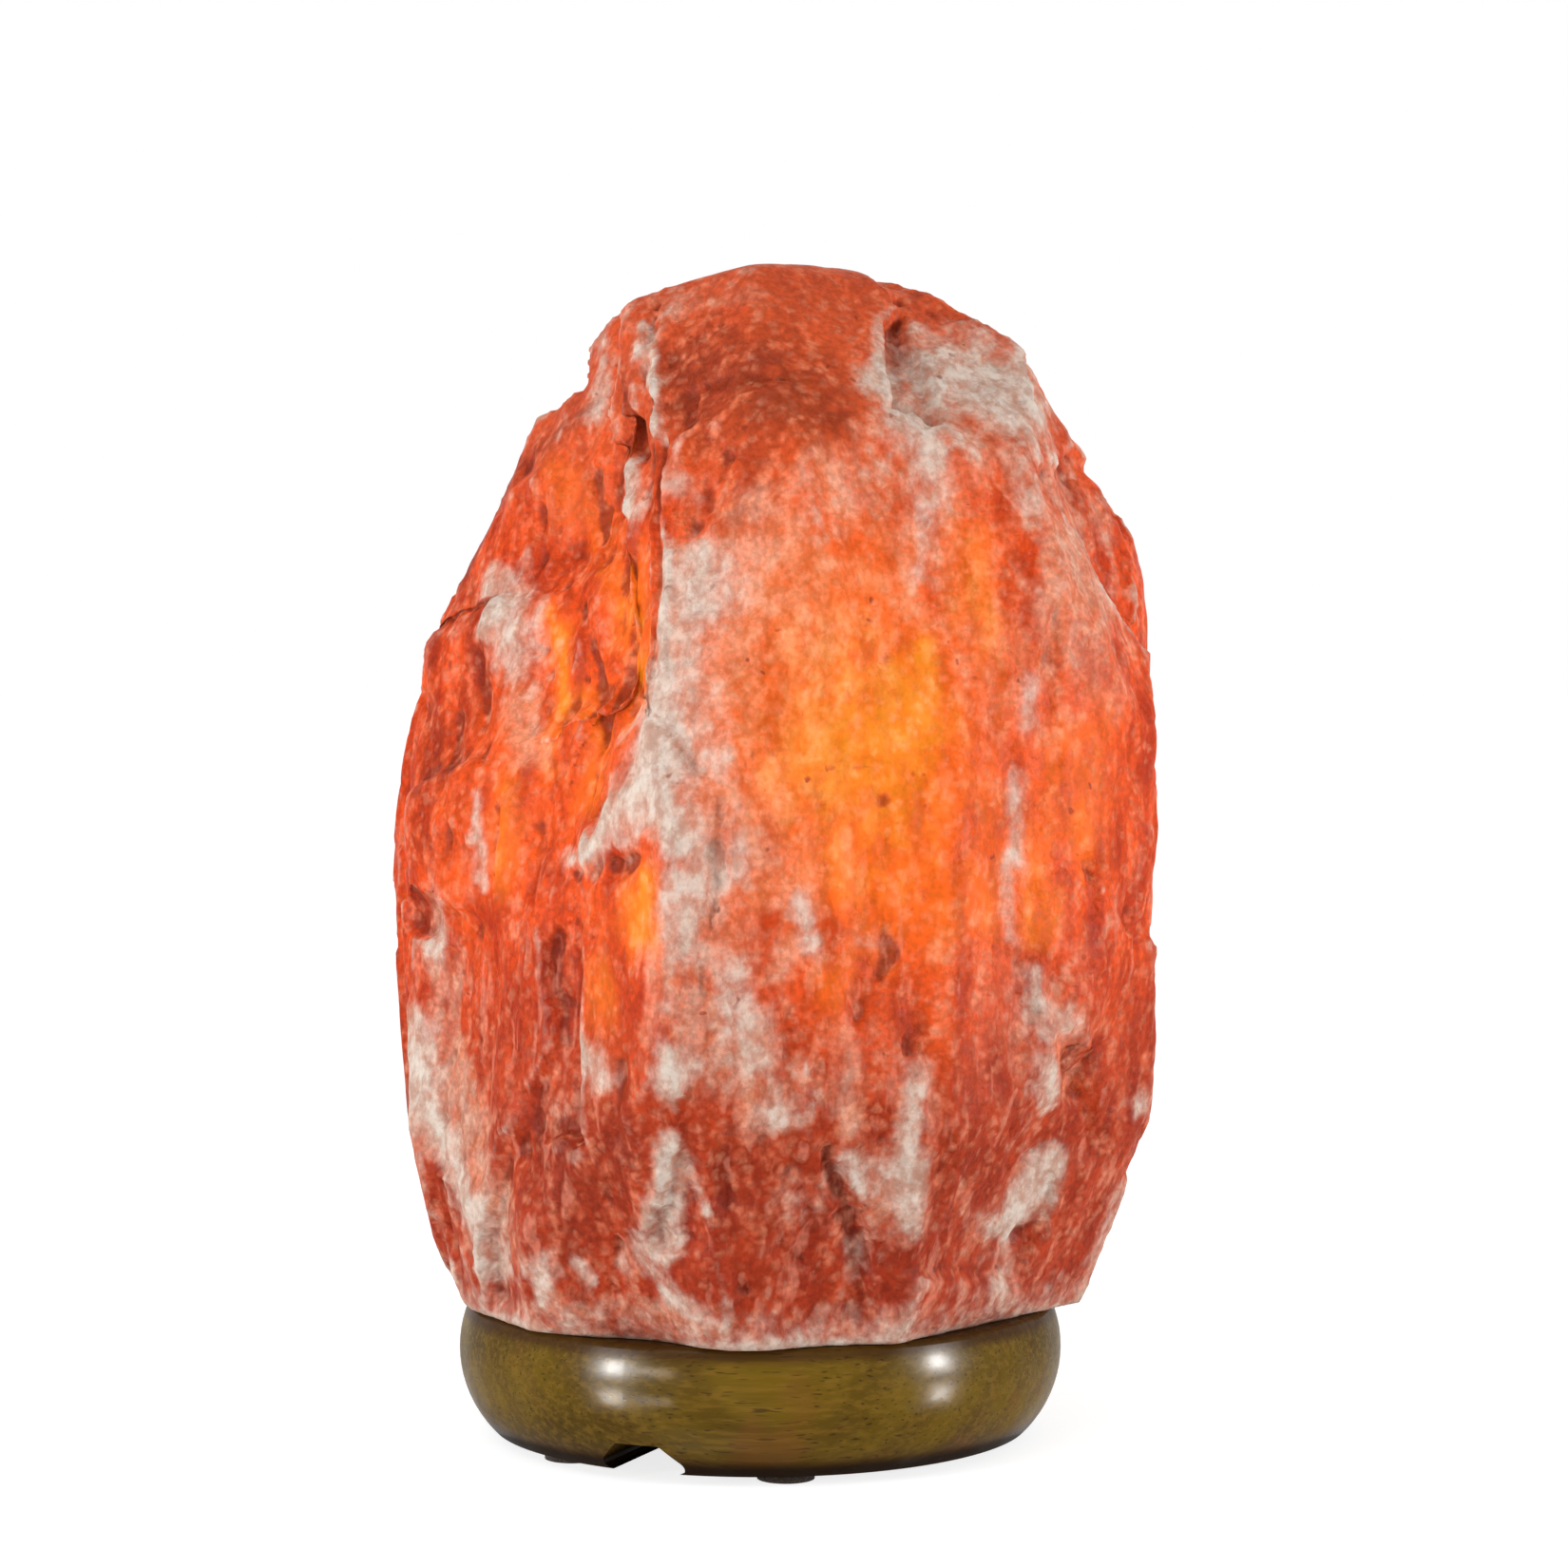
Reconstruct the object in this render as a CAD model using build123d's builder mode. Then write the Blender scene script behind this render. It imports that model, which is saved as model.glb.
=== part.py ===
"""Salt crystal lamp: a chiselled crystal screwed to a turned wooden base, over a clip-in lamp holder.

The frame is +Z up with the origin where the base's axis meets the table. -Y is the front.
Bodies: the lamp holder with its clip, the crystal and its base, which lift off the holder, and the
bulb, which screws out of the holder with its insulator and tip.
"""

import os
from math import atan2, cos, degrees, hypot, asin, radians, sin, sqrt

from build123d import *

os.makedirs("parts", exist_ok=True)

# ---------------------------------------------------------------- driving sizes, in millimetres
# Wooden base, turned from one disc
base_belly_radius = 60.0
base_top_radius = 58.0
base_foot_radius = 53.5
base_thickness = 25.0
base_belly_height = 14.0  # of the widest ring, above the wood's underside
base_edge_round = 1.5
bore_radius = 21.0  # the hole that the lamp holder clips into
recess_radius = 30.5  # the hollow turned under the base, which hides the clip
recess_depth = 12.0

# Felt pads under the base
pad_radius = 5.5
pad_thickness = 2.0
pad_circle_radius = 45.0
pad_angles = (30, 120, 240, 330)  # round from the cord groove

# Groove for the cord, from the hollow to the rim
groove_angle = 246.5  # its direction, round from +X
groove_mouth_width = 21.0
groove_crown_width = 9.0
groove_depth = 6.0
groove_corner_round = 1.5

# Screws that hold the crystal on its base
screw_count = 3
screw_circle_radius = 44.0
screw_shank_radius = 2.5
screw_length = 38.0
screw_point_length = 5.0
screw_point_radius = 0.8
screw_head_radius = 4.6
screw_head_height = 3.0
screw_head_round = 1.0
screw_slot_width = 1.2
screw_slot_depth = 1.5
screw_well_radius = 6.2
screw_well_depth = 8.0
screw_hole_clearance = 0.25
washer_radius = 5.6
washer_thickness = 1.0
plug_radius = 4.0
plug_length = 25.0
plug_slit_width = 0.8
plug_slit_length = 14.0
plug_side_clearance = 0.1
plug_bore_clearance = 0.05
plug_hole_spare = 2.0  # how much deeper the hole in the crystal is than its plug

# Crystal: an egg that the chisel cuts flat faces and hollows into
crystal_half_width = 75.5
crystal_half_depth = 72.0
crystal_height = 203.5
crystal_belly_height = 66.0  # of the widest level, above the base
crystal_foot_reach = 104.0  # how far the egg would run on below its widest level
crystal_shift_x = 3.0  # the belly stands a little off the base's axis
crystal_cut_unit = 1.0  # the unit of the lengths in the tables of chisel cuts
cavity_radius = 25.0
cavity_depth = 125.0
cavity_dome_height = 14.0

# Clip bracket, stamped from one sheet
sheet_thickness = 0.8
bracket_disc_radius = 16.0
bracket_ear_width = 12.0
bracket_ear_count = 3
bracket_seat_clearance = 3.0  # between the ears' ends and the hollow's wall
arm_width = 8.0
arm_heel_radius = 17.2
arm_crest_height = 8.5  # of the bowed crest, above the bracket's disc
arm_tip_height = 15.5
arm_tip_inset = 2.4
arm_bend_radius = 1.6
arm_wall_clearance = 0.25  # between an arm's crest and the bore

# Hollow threaded stem, its nut and its cord bush
stem_radius = 5.0
stem_bore_radius = 4.2
stem_below_nut = 1.2
stem_clearance = 0.1
nut_across_flats = 14.0
nut_thickness = 3.0
nut_edge_round = 0.4
lock_washer_radius = 7.5
lock_washer_thickness = 0.8
lock_washer_teeth = 12
lock_washer_notch_radius = 0.7
bush_bore_radius = 3.6
bush_flange_radius = 5.6
bush_flange_thickness = 1.4
bush_length = 8.0
bush_clearance = 0.05

# Lamp holder, a moulded cap and a moulded body that screws over it
holder_radius = 13.5
holder_cap_height = 16.0
holder_cap_floor = 2.5
holder_boss_radius = 7.5
holder_boss_height = 5.5
holder_edge_round = 1.2
spigot_height = 5.0
spigot_wall = 1.6
spigot_clearance = 0.15
holder_body_height = 30.0
holder_body_wall = 1.7
holder_mouth_spare = 1.2  # how much wider the mouth is than the threaded shell
holder_mouth_bevel = 0.8
holder_rib_count = 24
holder_rib_radius = 0.55
holder_rib_height = 11.0
holder_rib_foot = 1.5  # above the body's lower edge

# Contact block inside the holder
block_thickness = 6.0
block_clearance = 0.1
strip_slot_clearance = 0.16
shell_terminal_offset = 7.6
tip_terminal_offset = 4.6
terminal_drop = 5.0
terminal_screw_radius = 0.9
terminal_screw_length = 2.2
terminal_screw_head_radius = 1.6
terminal_screw_head_height = 0.9
terminal_screw_drop = 2.8  # below the block
contact_width = 4.2
contact_rise = 2.4
contact_ramp_start = 3.2  # how far from the axis the tip's contact starts to rise
contact_ramp_end = 1.4
contact_bend_radius = 0.4
contact_thickness = 0.5

# Edison thread shared by the bulb's cap and the holder's shell
thread_pitch = 25.4 / 9
thread_root_radius = 6.15
thread_crest_radius = 6.95
thread_clearance = 0.2
thread_rib_width = 1.0
thread_rib_crest_width = 0.4
thread_rib_sink = 0.15  # how deep a rib's foot is rooted in its wall
shell_wall = 0.6
shell_height = 14.5
shell_flange_width = 1.9
shell_flange_thickness = 0.6
shell_rib_turns = 3

# Bulb
tip_radius = 2.2
tip_height = 1.0
tip_edge_round = 0.5
tip_gap = 0.15  # between the bulb's tip and the holder's sprung contact
insulator_height = 3.0
insulator_foot_radius = 3.4
insulator_side_clearance = 0.25
cap_wall = 0.4
cap_rib_start = 0.8  # above the cap's foot
cap_rib_turns = 3.5
cap_thread_height = 12.5
skirt_radius = 7.5
skirt_height = 5.0
skirt_flare_height = 1.2
glass_radius = 14.0
glass_neck_radius = 6.9
glass_neck_depth = 3.0  # how far the neck goes into the skirt
glass_wall = 0.6
glass_ball_height = 23.0  # of the glass's widest ring, above the skirt
stem_glass_radius = 3.0
stem_glass_foot_radius = 5.8
stem_glass_height = 9.0
lead_radius = 0.35
lead_root_spread = 1.6
lead_spread = 5.0
lead_rise = 2.0  # of each straight end of a lead
lead_height = 17.0  # of the filament's ends, above the skirt
filament_radius = 0.45

# ---------------------------------------------------------------- levels that follow from them
wood_bottom = pad_thickness
wood_top = wood_bottom + base_thickness
cavity_top = wood_top + cavity_depth
ledge = wood_bottom + recess_depth  # the bracket's ears bear up against this
disc_bottom = ledge - sheet_thickness
well_top = wood_bottom + screw_well_depth

lock_washer_bottom = disc_bottom - lock_washer_thickness
nut_bottom = lock_washer_bottom - nut_thickness
stem_bottom = nut_bottom - stem_below_nut

cap_top = ledge + holder_cap_height
spigot_top = cap_top + spigot_height
body_bore_radius = holder_radius - holder_body_wall
spigot_radius = body_bore_radius - spigot_clearance
block_top = spigot_top + block_thickness
contact_top = block_top + contact_rise

shell_bore_radius = thread_crest_radius + thread_clearance
shell_outer_radius = shell_bore_radius + shell_wall

tip_bottom = contact_top + tip_gap
insulator_bottom = tip_bottom + tip_height
bulb_cap_bottom = insulator_bottom + insulator_height
skirt_bottom = bulb_cap_bottom + cap_thread_height
skirt_top = skirt_bottom + skirt_height


def finish(piece: BuildPart, name: str):
    """Labels a finished piece and writes it as its own STEP file."""
    piece.part.label = name
    export_step(piece.part, f"parts/{name}.step")


def level(height: float) -> Plane:
    """The level plane at a height above the table."""
    return Plane.XY.offset(height)


def upright(angle: float) -> Plane:
    """The plane through the base's axis, with its X outward at an angle round from +X and its Y up."""
    return Plane(origin=(0, 0, 0), x_dir=(cos(radians(angle)), sin(radians(angle)), 0),
                 z_dir=(sin(radians(angle)), -cos(radians(angle)), 0))


# ---------------------------------------------------------------- wooden base
screw_start = groove_angle + 180 / screw_count
screw_places = PolarLocations(screw_circle_radius, screw_count, start_angle=screw_start)

with BuildPart() as wood_base:
    with BuildSketch(Plane.XZ):
        with BuildLine():
            foot = (base_foot_radius, wood_bottom)
            belly = (base_belly_radius, wood_bottom + base_belly_height)
            shoulder = (base_top_radius, wood_top)
            Line((0, wood_bottom), foot)
            ThreePointArc(foot, belly, shoulder)
            Polyline(shoulder, (0, wood_top), (0, wood_bottom))
        make_face()
    revolve(axis=Axis.Z)
    fillet(wood_base.edges().group_by(Axis.Z)[-1], base_edge_round)
    with BuildSketch(level(wood_bottom)):
        Circle(recess_radius)
    extrude(amount=recess_depth, mode=Mode.SUBTRACT)
    with BuildSketch(level(wood_bottom)):
        Circle(bore_radius)
    extrude(amount=base_thickness, mode=Mode.SUBTRACT)
    # the groove's section stands at the axis and is run out through the rim
    groove_plane = Plane(
        origin=(0, 0, wood_bottom),
        x_dir=(-sin(radians(groove_angle)), cos(radians(groove_angle)), 0),
        z_dir=(cos(radians(groove_angle)), sin(radians(groove_angle)), 0),
    )
    with BuildSketch(groove_plane) as groove_section:
        with BuildLine():
            mouth, crown = groove_mouth_width / 2, groove_crown_width / 2
            Polyline((-mouth, 0), (-crown, groove_depth), (crown, groove_depth), (mouth, 0), close=True)
        make_face()
        fillet(groove_section.vertices().group_by(Axis.Z)[-1], groove_corner_round)
    extrude(amount=base_belly_radius, mode=Mode.SUBTRACT)
    with BuildSketch(level(wood_bottom)):
        with screw_places:
            Circle(screw_well_radius)
    extrude(amount=screw_well_depth, mode=Mode.SUBTRACT)
    with BuildSketch(level(wood_bottom)):
        with screw_places:
            Circle(screw_shank_radius + screw_hole_clearance)
    extrude(amount=base_thickness, mode=Mode.SUBTRACT)
finish(wood_base, "wood_base")

with BuildPart() as felt_pads:
    with BuildSketch():
        for angle in pad_angles:
            with PolarLocations(pad_circle_radius, 1, start_angle=groove_angle + angle):
                Circle(pad_radius)
    extrude(amount=pad_thickness)
finish(felt_pads, "felt_pads")

# ---------------------------------------------------------------- crystal
# Each face is a chisel cut: its bearing from the front towards +X, its tilt up from level, in degrees,
# and how far inside the egg it lies. A face outside the egg has a negative depth.
crystal_faces = (
    # foot
    (95, -19, 1.1), (50, -22, 5.6), (12, -16, 0.0), (-28, -20, 0.0), (-60, -17, 0.0),
    (-84, -26, -3.0), (-84, -13, -0.8), (-142, -20, -1.9), (178, -17, -0.4), (136, -21, 0.0),
    # belly
    (90, 1, 0.8), (62, -3, -0.1), (38, 2, 2.0), (12, 3, 1.5), (-50, 4, 10.2), (-84.5, -4, 0.8),
    (-84.5, 5, -0.4), (-122, 0, -6.8), (-155, 2, 0.0), (-178, 3, -1.9), (150, -2, -0.4), (120, 3, 1.0),
    # shoulder
    (92, 13, -9.0), (90, 32, -8.6), (60, 21, -6.2), (22, 18, 0.0), (-14, 20, 0.0), (-52, 17, 9.1),
    (-86, 16, -1.5), (-86, 33, -1.1), (-128, 22, 4.0), (-166, 24, 0.0), (157, 20, 0.0), (124, 22, -1.0),
    # crown
    (88, 58, -7.5), (60, 46, -9.9), (24, 44, 0.6), (-30, 40, 0.0), (-85, 45, -2.6), (-135, 48, 2.2),
    (168, 45, -1.0), (118, 50, -2.0),
    # top
    (80, 82, -3.0), (-85, 76, 0.0), (-165, 68, -0.4), (30, 70, -2.6),
)
# Hollows gouged down a face: bearing, tilt, depth inside the egg, radius of the hollow, how far to the
# right of the bearing it runs, and how far it leans to the right, in degrees.
crystal_gouges = (
    (12, 3, 4.2, 70, 18, -6), (38, 2, 4.4, 34, -4, 5), (62, -3, 2.6, 26, 2, -8), (60, 21, -3.6, 30, 4, 10),
    (22, 18, 2.4, 45, 6, -4), (-50, 4, 12.6, 28, -8, 7), (-28, -20, 2.4, 30, -6, -12),
    (12, -16, 2.2, 36, 8, 9), (90, 1, 2.8, 24, 6, 5), (120, 3, 3.4, 30, 0, -7), (150, -2, 2.0, 38, 4, 6),
    (-178, 3, 0.9, 42, -5, -5), (-155, 2, 2.6, 30, 6, 8), (-122, 0, -4.2, 32, -3, -6),
    (157, 20, 2.6, 34, 0, 7), (-166, 24, 2.6, 30, 3, -9),
)
# Slabs split away beside a riser: the tread's bearing, tilt and depth inside the egg, how far to the right
# of the bearing the riser stands, how far it leans to the right, and how far up the tread the slab's foot
# and crest lie from the middle of the face.
crystal_slabs = (
    (-52, 17, 12.4, 46, -20, 12, 140), (-52, 17, 16.2, 34, -20, 42, 140), (-52, 17, 20.0, 24, -18, 68, 140),
    (-52, 17, 33.0, 14, -20, 108, 140), (-50, 4, 13.6, -6, 4, -44, 8), (50, -22, 8.2, 12, 10, -34, 14),
)

egg_crown_reach = crystal_height - crystal_belly_height
egg_centre = Vector(crystal_shift_x, 0, wood_top + crystal_belly_height)


def facing(bearing: float, tilt: float) -> Vector:
    """The outward direction at a bearing from the front and a tilt up from level."""
    run = cos(radians(tilt))
    return Vector(sin(radians(bearing)) * run, -cos(radians(bearing)) * run, sin(radians(tilt)))


def egg_support(direction: Vector) -> float:
    """How far from its centre the egg reaches in a direction."""
    reach = egg_crown_reach if direction.Z > 0 else crystal_foot_reach
    across = crystal_half_width * direction.X
    forward = crystal_half_depth * direction.Y
    upward = reach * direction.Z
    return sqrt(across**2 + forward**2 + upward**2)


def chisel_frame(bearing: float, tilt: float, depth: float, aside: float, lean: float) -> Plane:
    """Where a chisel runs up a face: X to the right, Y into the crystal, Z up along the cut."""
    normal = facing(bearing, tilt)
    right = facing(bearing + 90, 0)
    up = facing(bearing, tilt + 90) * cos(radians(lean)) + right * sin(radians(lean))
    face_middle = egg_centre + normal * (egg_support(normal) - depth * crystal_cut_unit)
    middle = face_middle + right * aside * crystal_cut_unit
    return Plane(middle, x_dir=up.cross(normal), z_dir=up)


with BuildPart() as salt_crystal:
    with BuildSketch(level(wood_top)):
        with Locations((crystal_shift_x, 0)):
            Rectangle(3 * crystal_half_width, 3 * crystal_half_depth)
    extrude(amount=crystal_height)
    for bearing, tilt, depth in crystal_faces:
        normal = facing(bearing, tilt)
        face_distance = egg_support(normal) - depth * crystal_cut_unit
        split(bisect_by=Plane(egg_centre + normal * face_distance, z_dir=normal), keep=Keep.BOTTOM)
    for bearing, tilt, depth, aside, lean, slab_foot, slab_crest in crystal_slabs:
        slab_plane = chisel_frame(bearing, tilt, depth, aside, lean).offset(slab_foot * crystal_cut_unit)
        with BuildSketch(slab_plane):
            Rectangle(crystal_half_width, crystal_half_width, align=(Align.MAX, Align.MAX))
        extrude(amount=(slab_crest - slab_foot) * crystal_cut_unit, mode=Mode.SUBTRACT)
    for bearing, tilt, depth, radius, aside, lean in crystal_gouges:
        with BuildSketch(chisel_frame(bearing, tilt, depth, aside, lean)):
            with Locations((0, -radius * crystal_cut_unit)):
                Circle(radius * crystal_cut_unit)
        extrude(amount=crystal_height, both=True, mode=Mode.SUBTRACT)
    # the lamp's cavity, drilled from below with a domed end
    with BuildSketch(Plane.XZ):
        with BuildLine():
            dome_foot = cavity_top - cavity_dome_height
            Polyline((0, wood_top), (cavity_radius, wood_top), (cavity_radius, dome_foot))
            dome_radius = (cavity_radius**2 + cavity_dome_height**2) / (2 * cavity_dome_height)
            half_dome = asin(cavity_radius / dome_radius) / 2
            half_way = (dome_radius * sin(half_dome), cavity_top - dome_radius * (1 - cos(half_dome)))
            ThreePointArc((cavity_radius, dome_foot), half_way, (0, cavity_top))
            Line((0, cavity_top), (0, wood_top))
        make_face()
    revolve(axis=Axis.Z, mode=Mode.SUBTRACT)
    with BuildSketch(level(wood_top)):
        with screw_places:
            Circle(plug_radius + plug_side_clearance)
    extrude(amount=plug_length + plug_hole_spare, mode=Mode.SUBTRACT)
finish(salt_crystal, "salt_crystal")

# ---------------------------------------------------------------- screws, washers and plugs
with BuildPart() as screw_plugs:
    with BuildSketch(level(wood_top)):
        with screw_places:
            Circle(plug_radius)
            Circle(screw_shank_radius + plug_bore_clearance, mode=Mode.SUBTRACT)
    extrude(amount=plug_length)
    # slit so that the screw spreads it
    with BuildSketch(level(wood_top + plug_length)):
        with screw_places:
            Rectangle(2 * plug_radius, plug_slit_width)
    extrude(amount=-plug_slit_length, mode=Mode.SUBTRACT)
finish(screw_plugs, "screw_plugs")

washer_bottom = well_top - washer_thickness
with BuildPart() as fixing_washers:
    with BuildSketch(level(washer_bottom)):
        with screw_places:
            Circle(washer_radius)
            Circle(screw_shank_radius + screw_hole_clearance, mode=Mode.SUBTRACT)
    extrude(amount=washer_thickness)
finish(fixing_washers, "fixing_washers")

with BuildPart() as fixing_screws:
    head_bottom = washer_bottom - screw_head_height
    with BuildSketch(level(head_bottom)):
        with screw_places:
            Circle(screw_head_radius)
    extrude(amount=screw_head_height)
    fillet(fixing_screws.edges().group_by(Axis.Z)[0], screw_head_round)
    with BuildSketch(level(washer_bottom)):
        with screw_places:
            Circle(screw_shank_radius)
    extrude(amount=screw_length - screw_point_length)
    chamfer(
        fixing_screws.edges().group_by(Axis.Z)[-1],
        screw_shank_radius - screw_point_radius,
    )
    with BuildSketch(level(head_bottom)):
        with screw_places:
            Rectangle(2 * screw_head_radius, screw_slot_width)
    extrude(amount=screw_slot_depth, mode=Mode.SUBTRACT)
finish(fixing_screws, "fixing_screws")

# ---------------------------------------------------------------- clip bracket
# A disc with three ears that bear up on the ledge of the base, and between them three bowed arms
# that spring against its bore.
# the arm's corners, not its middle, come nearest to the bore
arm_crest_radius = sqrt((bore_radius - arm_wall_clearance) ** 2 - (arm_width / 2) ** 2) - sheet_thickness / 2
arm_spacing = 360 / bracket_ear_count
ear_reach = recess_radius - bracket_seat_clearance
with BuildPart() as clip_bracket:
    with BuildSketch(level(disc_bottom)):
        Circle(bracket_disc_radius)
        with PolarLocations(0, bracket_ear_count, start_angle=groove_angle):
            Rectangle(ear_reach, bracket_ear_width, align=(Align.MIN, Align.CENTER))
        Circle(stem_radius + stem_clearance, mode=Mode.SUBTRACT)
    extrude(amount=sheet_thickness)
    sheet_middle = disc_bottom + sheet_thickness / 2
    for number in range(bracket_ear_count):
        with BuildSketch(upright(groove_angle + (number + 0.5) * arm_spacing)):
            with BuildLine():
                FilletPolyline(
                    (bracket_disc_radius / 2, sheet_middle),
                    (arm_heel_radius, sheet_middle),
                    (arm_crest_radius, ledge + arm_crest_height),
                    (arm_crest_radius - arm_tip_inset, ledge + arm_tip_height),
                    radius=arm_bend_radius,
                )
            trace(line_width=sheet_thickness)
        extrude(amount=arm_width / 2, both=True)
finish(clip_bracket, "clip_bracket")

# ---------------------------------------------------------------- stem, nut, lock washer and bush
with BuildPart() as hollow_stem:
    with BuildSketch(level(stem_bottom)):
        Circle(stem_radius)
        Circle(stem_bore_radius, mode=Mode.SUBTRACT)
    extrude(amount=ledge + holder_boss_height - stem_bottom)
finish(hollow_stem, "hollow_stem")

with BuildPart() as stem_nut:
    with BuildSketch(level(nut_bottom)):
        RegularPolygon(nut_across_flats / 2, 6, major_radius=False)
    extrude(amount=nut_thickness)
    chamfer(stem_nut.edges().filter_by(Axis.Z, reverse=True), nut_edge_round)
    with BuildSketch(level(nut_bottom)):
        Circle(stem_radius + stem_clearance)
    extrude(amount=nut_thickness, mode=Mode.SUBTRACT)
finish(stem_nut, "stem_nut")

with BuildPart() as lock_washer:
    with BuildSketch(level(lock_washer_bottom)):
        Circle(lock_washer_radius)
        Circle(stem_radius + stem_clearance, mode=Mode.SUBTRACT)
        with PolarLocations(lock_washer_radius, lock_washer_teeth):
            Circle(lock_washer_notch_radius, mode=Mode.SUBTRACT)
    extrude(amount=lock_washer_thickness)
finish(lock_washer, "lock_washer")

with BuildPart() as cord_bush:
    with BuildSketch(level(stem_bottom - bush_flange_thickness)):
        Circle(bush_flange_radius)
    extrude(amount=bush_flange_thickness)
    with BuildSketch(level(stem_bottom)):
        Circle(stem_bore_radius - bush_clearance)
    extrude(amount=bush_length - bush_flange_thickness)
    with BuildSketch(level(stem_bottom - bush_flange_thickness)):
        Circle(bush_bore_radius)
    extrude(amount=bush_length, mode=Mode.SUBTRACT)
finish(cord_bush, "cord_bush")

# ---------------------------------------------------------------- lamp holder
with BuildPart() as holder_cap:
    with BuildSketch(level(ledge)):
        Circle(holder_radius)
    extrude(amount=holder_cap_height)
    fillet(holder_cap.edges().group_by(Axis.Z)[0], holder_edge_round)
    with BuildSketch(level(cap_top)):
        Circle(spigot_radius)
    extrude(amount=spigot_height)
    with BuildSketch(level(ledge + holder_cap_floor)):
        Circle(spigot_radius - spigot_wall)
    extrude(amount=spigot_top - ledge - holder_cap_floor, mode=Mode.SUBTRACT)
    with BuildSketch(level(ledge)):
        Circle(holder_boss_radius)
    extrude(amount=holder_boss_height)
    with BuildSketch(level(ledge)):
        Circle(stem_radius + stem_clearance)
    extrude(amount=holder_boss_height, mode=Mode.SUBTRACT)
finish(holder_cap, "holder_cap")

with BuildPart() as holder_body:
    with BuildSketch(level(cap_top)):
        Circle(holder_radius)
    extrude(amount=holder_body_height)
    fillet(holder_body.edges().group_by(Axis.Z)[-1], holder_edge_round)
    with BuildSketch(level(cap_top + holder_rib_foot)):
        with PolarLocations(holder_radius, holder_rib_count):
            Circle(holder_rib_radius)
    extrude(amount=holder_rib_height)
    # a shoulder clamps the threaded shell's flange down on the contact block
    with BuildSketch(level(cap_top)):
        Circle(body_bore_radius)
    extrude(amount=block_top + shell_flange_thickness - cap_top, mode=Mode.SUBTRACT)
    with BuildSketch(level(cap_top)):
        Circle(shell_outer_radius + holder_mouth_spare)
    extrude(amount=holder_body_height, mode=Mode.SUBTRACT)
    mouth_edge = holder_body.edges().group_by(Axis.Z)[-1].sort_by(SortBy.RADIUS)[0]
    chamfer(mouth_edge, holder_mouth_bevel)
finish(holder_body, "holder_body")

strip_slot = (contact_thickness + 2 * strip_slot_clearance, contact_width + 2 * strip_slot_clearance)
with BuildPart() as contact_block:
    with BuildSketch(level(spigot_top)):
        Circle(body_bore_radius - block_clearance)
        with Locations((-tip_terminal_offset, 0), (shell_terminal_offset, 0)):
            Rectangle(*strip_slot, mode=Mode.SUBTRACT)
    extrude(amount=block_thickness)
finish(contact_block, "contact_block")

# Each terminal is a strip of brass that stands through the block, with a screw across its tail.
terminal_foot = spigot_top - terminal_drop
terminal_screw_level = spigot_top - terminal_screw_drop


def cut_screw_hole(offset: float):
    """Cuts the terminal screw's hole through a strip that stands at an offset along X."""
    with BuildSketch(Plane(origin=(offset, 0, terminal_screw_level), z_dir=(1, 0, 0))) as hole:
        Circle(terminal_screw_radius + strip_slot_clearance)
    extrude(hole.sketch, amount=contact_thickness, both=True, mode=Mode.SUBTRACT)


with BuildPart() as tip_contact_strip:
    with BuildSketch(Plane.XZ):
        with BuildLine():
            FilletPolyline(
                (-tip_terminal_offset, terminal_foot),
                (-tip_terminal_offset, block_top + contact_thickness / 2),
                (-contact_ramp_start, block_top + contact_thickness / 2),
                (-contact_ramp_end, contact_top - contact_thickness / 2),
                (tip_radius, contact_top - contact_thickness / 2),
                radius=contact_bend_radius,
            )
        trace(line_width=contact_thickness)
    extrude(amount=contact_width / 2, both=True)
    cut_screw_hole(-tip_terminal_offset)
finish(tip_contact_strip, "tip_contact_strip")

with BuildPart() as shell_contact_strip:
    with BuildSketch(level(terminal_foot)):
        with Locations((shell_terminal_offset, 0)):
            Rectangle(contact_thickness, contact_width)
    extrude(amount=block_top - terminal_foot)
    cut_screw_hole(shell_terminal_offset)
finish(shell_contact_strip, "shell_contact_strip")

with BuildPart() as terminal_screws:
    # each head stands against the outer side of its strip
    for offset, side in ((-tip_terminal_offset, -1), (shell_terminal_offset, 1)):
        head_seat = (offset + side * contact_thickness / 2, 0, terminal_screw_level)
        with BuildSketch(Plane(origin=head_seat, z_dir=(side, 0, 0))):
            Circle(terminal_screw_head_radius)
        extrude(amount=terminal_screw_head_height)
        with BuildSketch(Plane(origin=head_seat, z_dir=(-side, 0, 0))):
            Circle(terminal_screw_radius)
        extrude(amount=terminal_screw_length)
finish(terminal_screws, "terminal_screws")


# ---------------------------------------------------------------- Edison thread
def add_thread_rib(wall_radius: float, crest_radius: float, start: float, turns: float):
    """Winds a right-handed rib from a wall towards a crest, from a height at +X."""
    inward = 1 if crest_radius > wall_radius else -1
    path = Helix(pitch=thread_pitch, height=turns * thread_pitch, radius=wall_radius, center=(0, 0, start),
                 mode=Mode.PRIVATE)
    with BuildSketch(Plane(origin=path @ 0, x_dir=(inward, 0, 0), z_dir=path % 0)) as rib:
        rib_rise = abs(crest_radius - wall_radius)
        with BuildLine():
            foot, crest = thread_rib_width / 2, thread_rib_crest_width / 2
            Polyline((-thread_rib_sink, -foot), (0, -foot), (rib_rise, -crest), (rib_rise, crest),
                     (0, foot), (-thread_rib_sink, foot), close=True)
        make_face()
    sweep(rib.sketch, path=path, is_frenet=True)


cap_rib_level = bulb_cap_bottom + cap_rib_start
shell_rib_level = cap_rib_level - 1.5 * thread_pitch  # half a pitch out of step with the cap's rib

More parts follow.
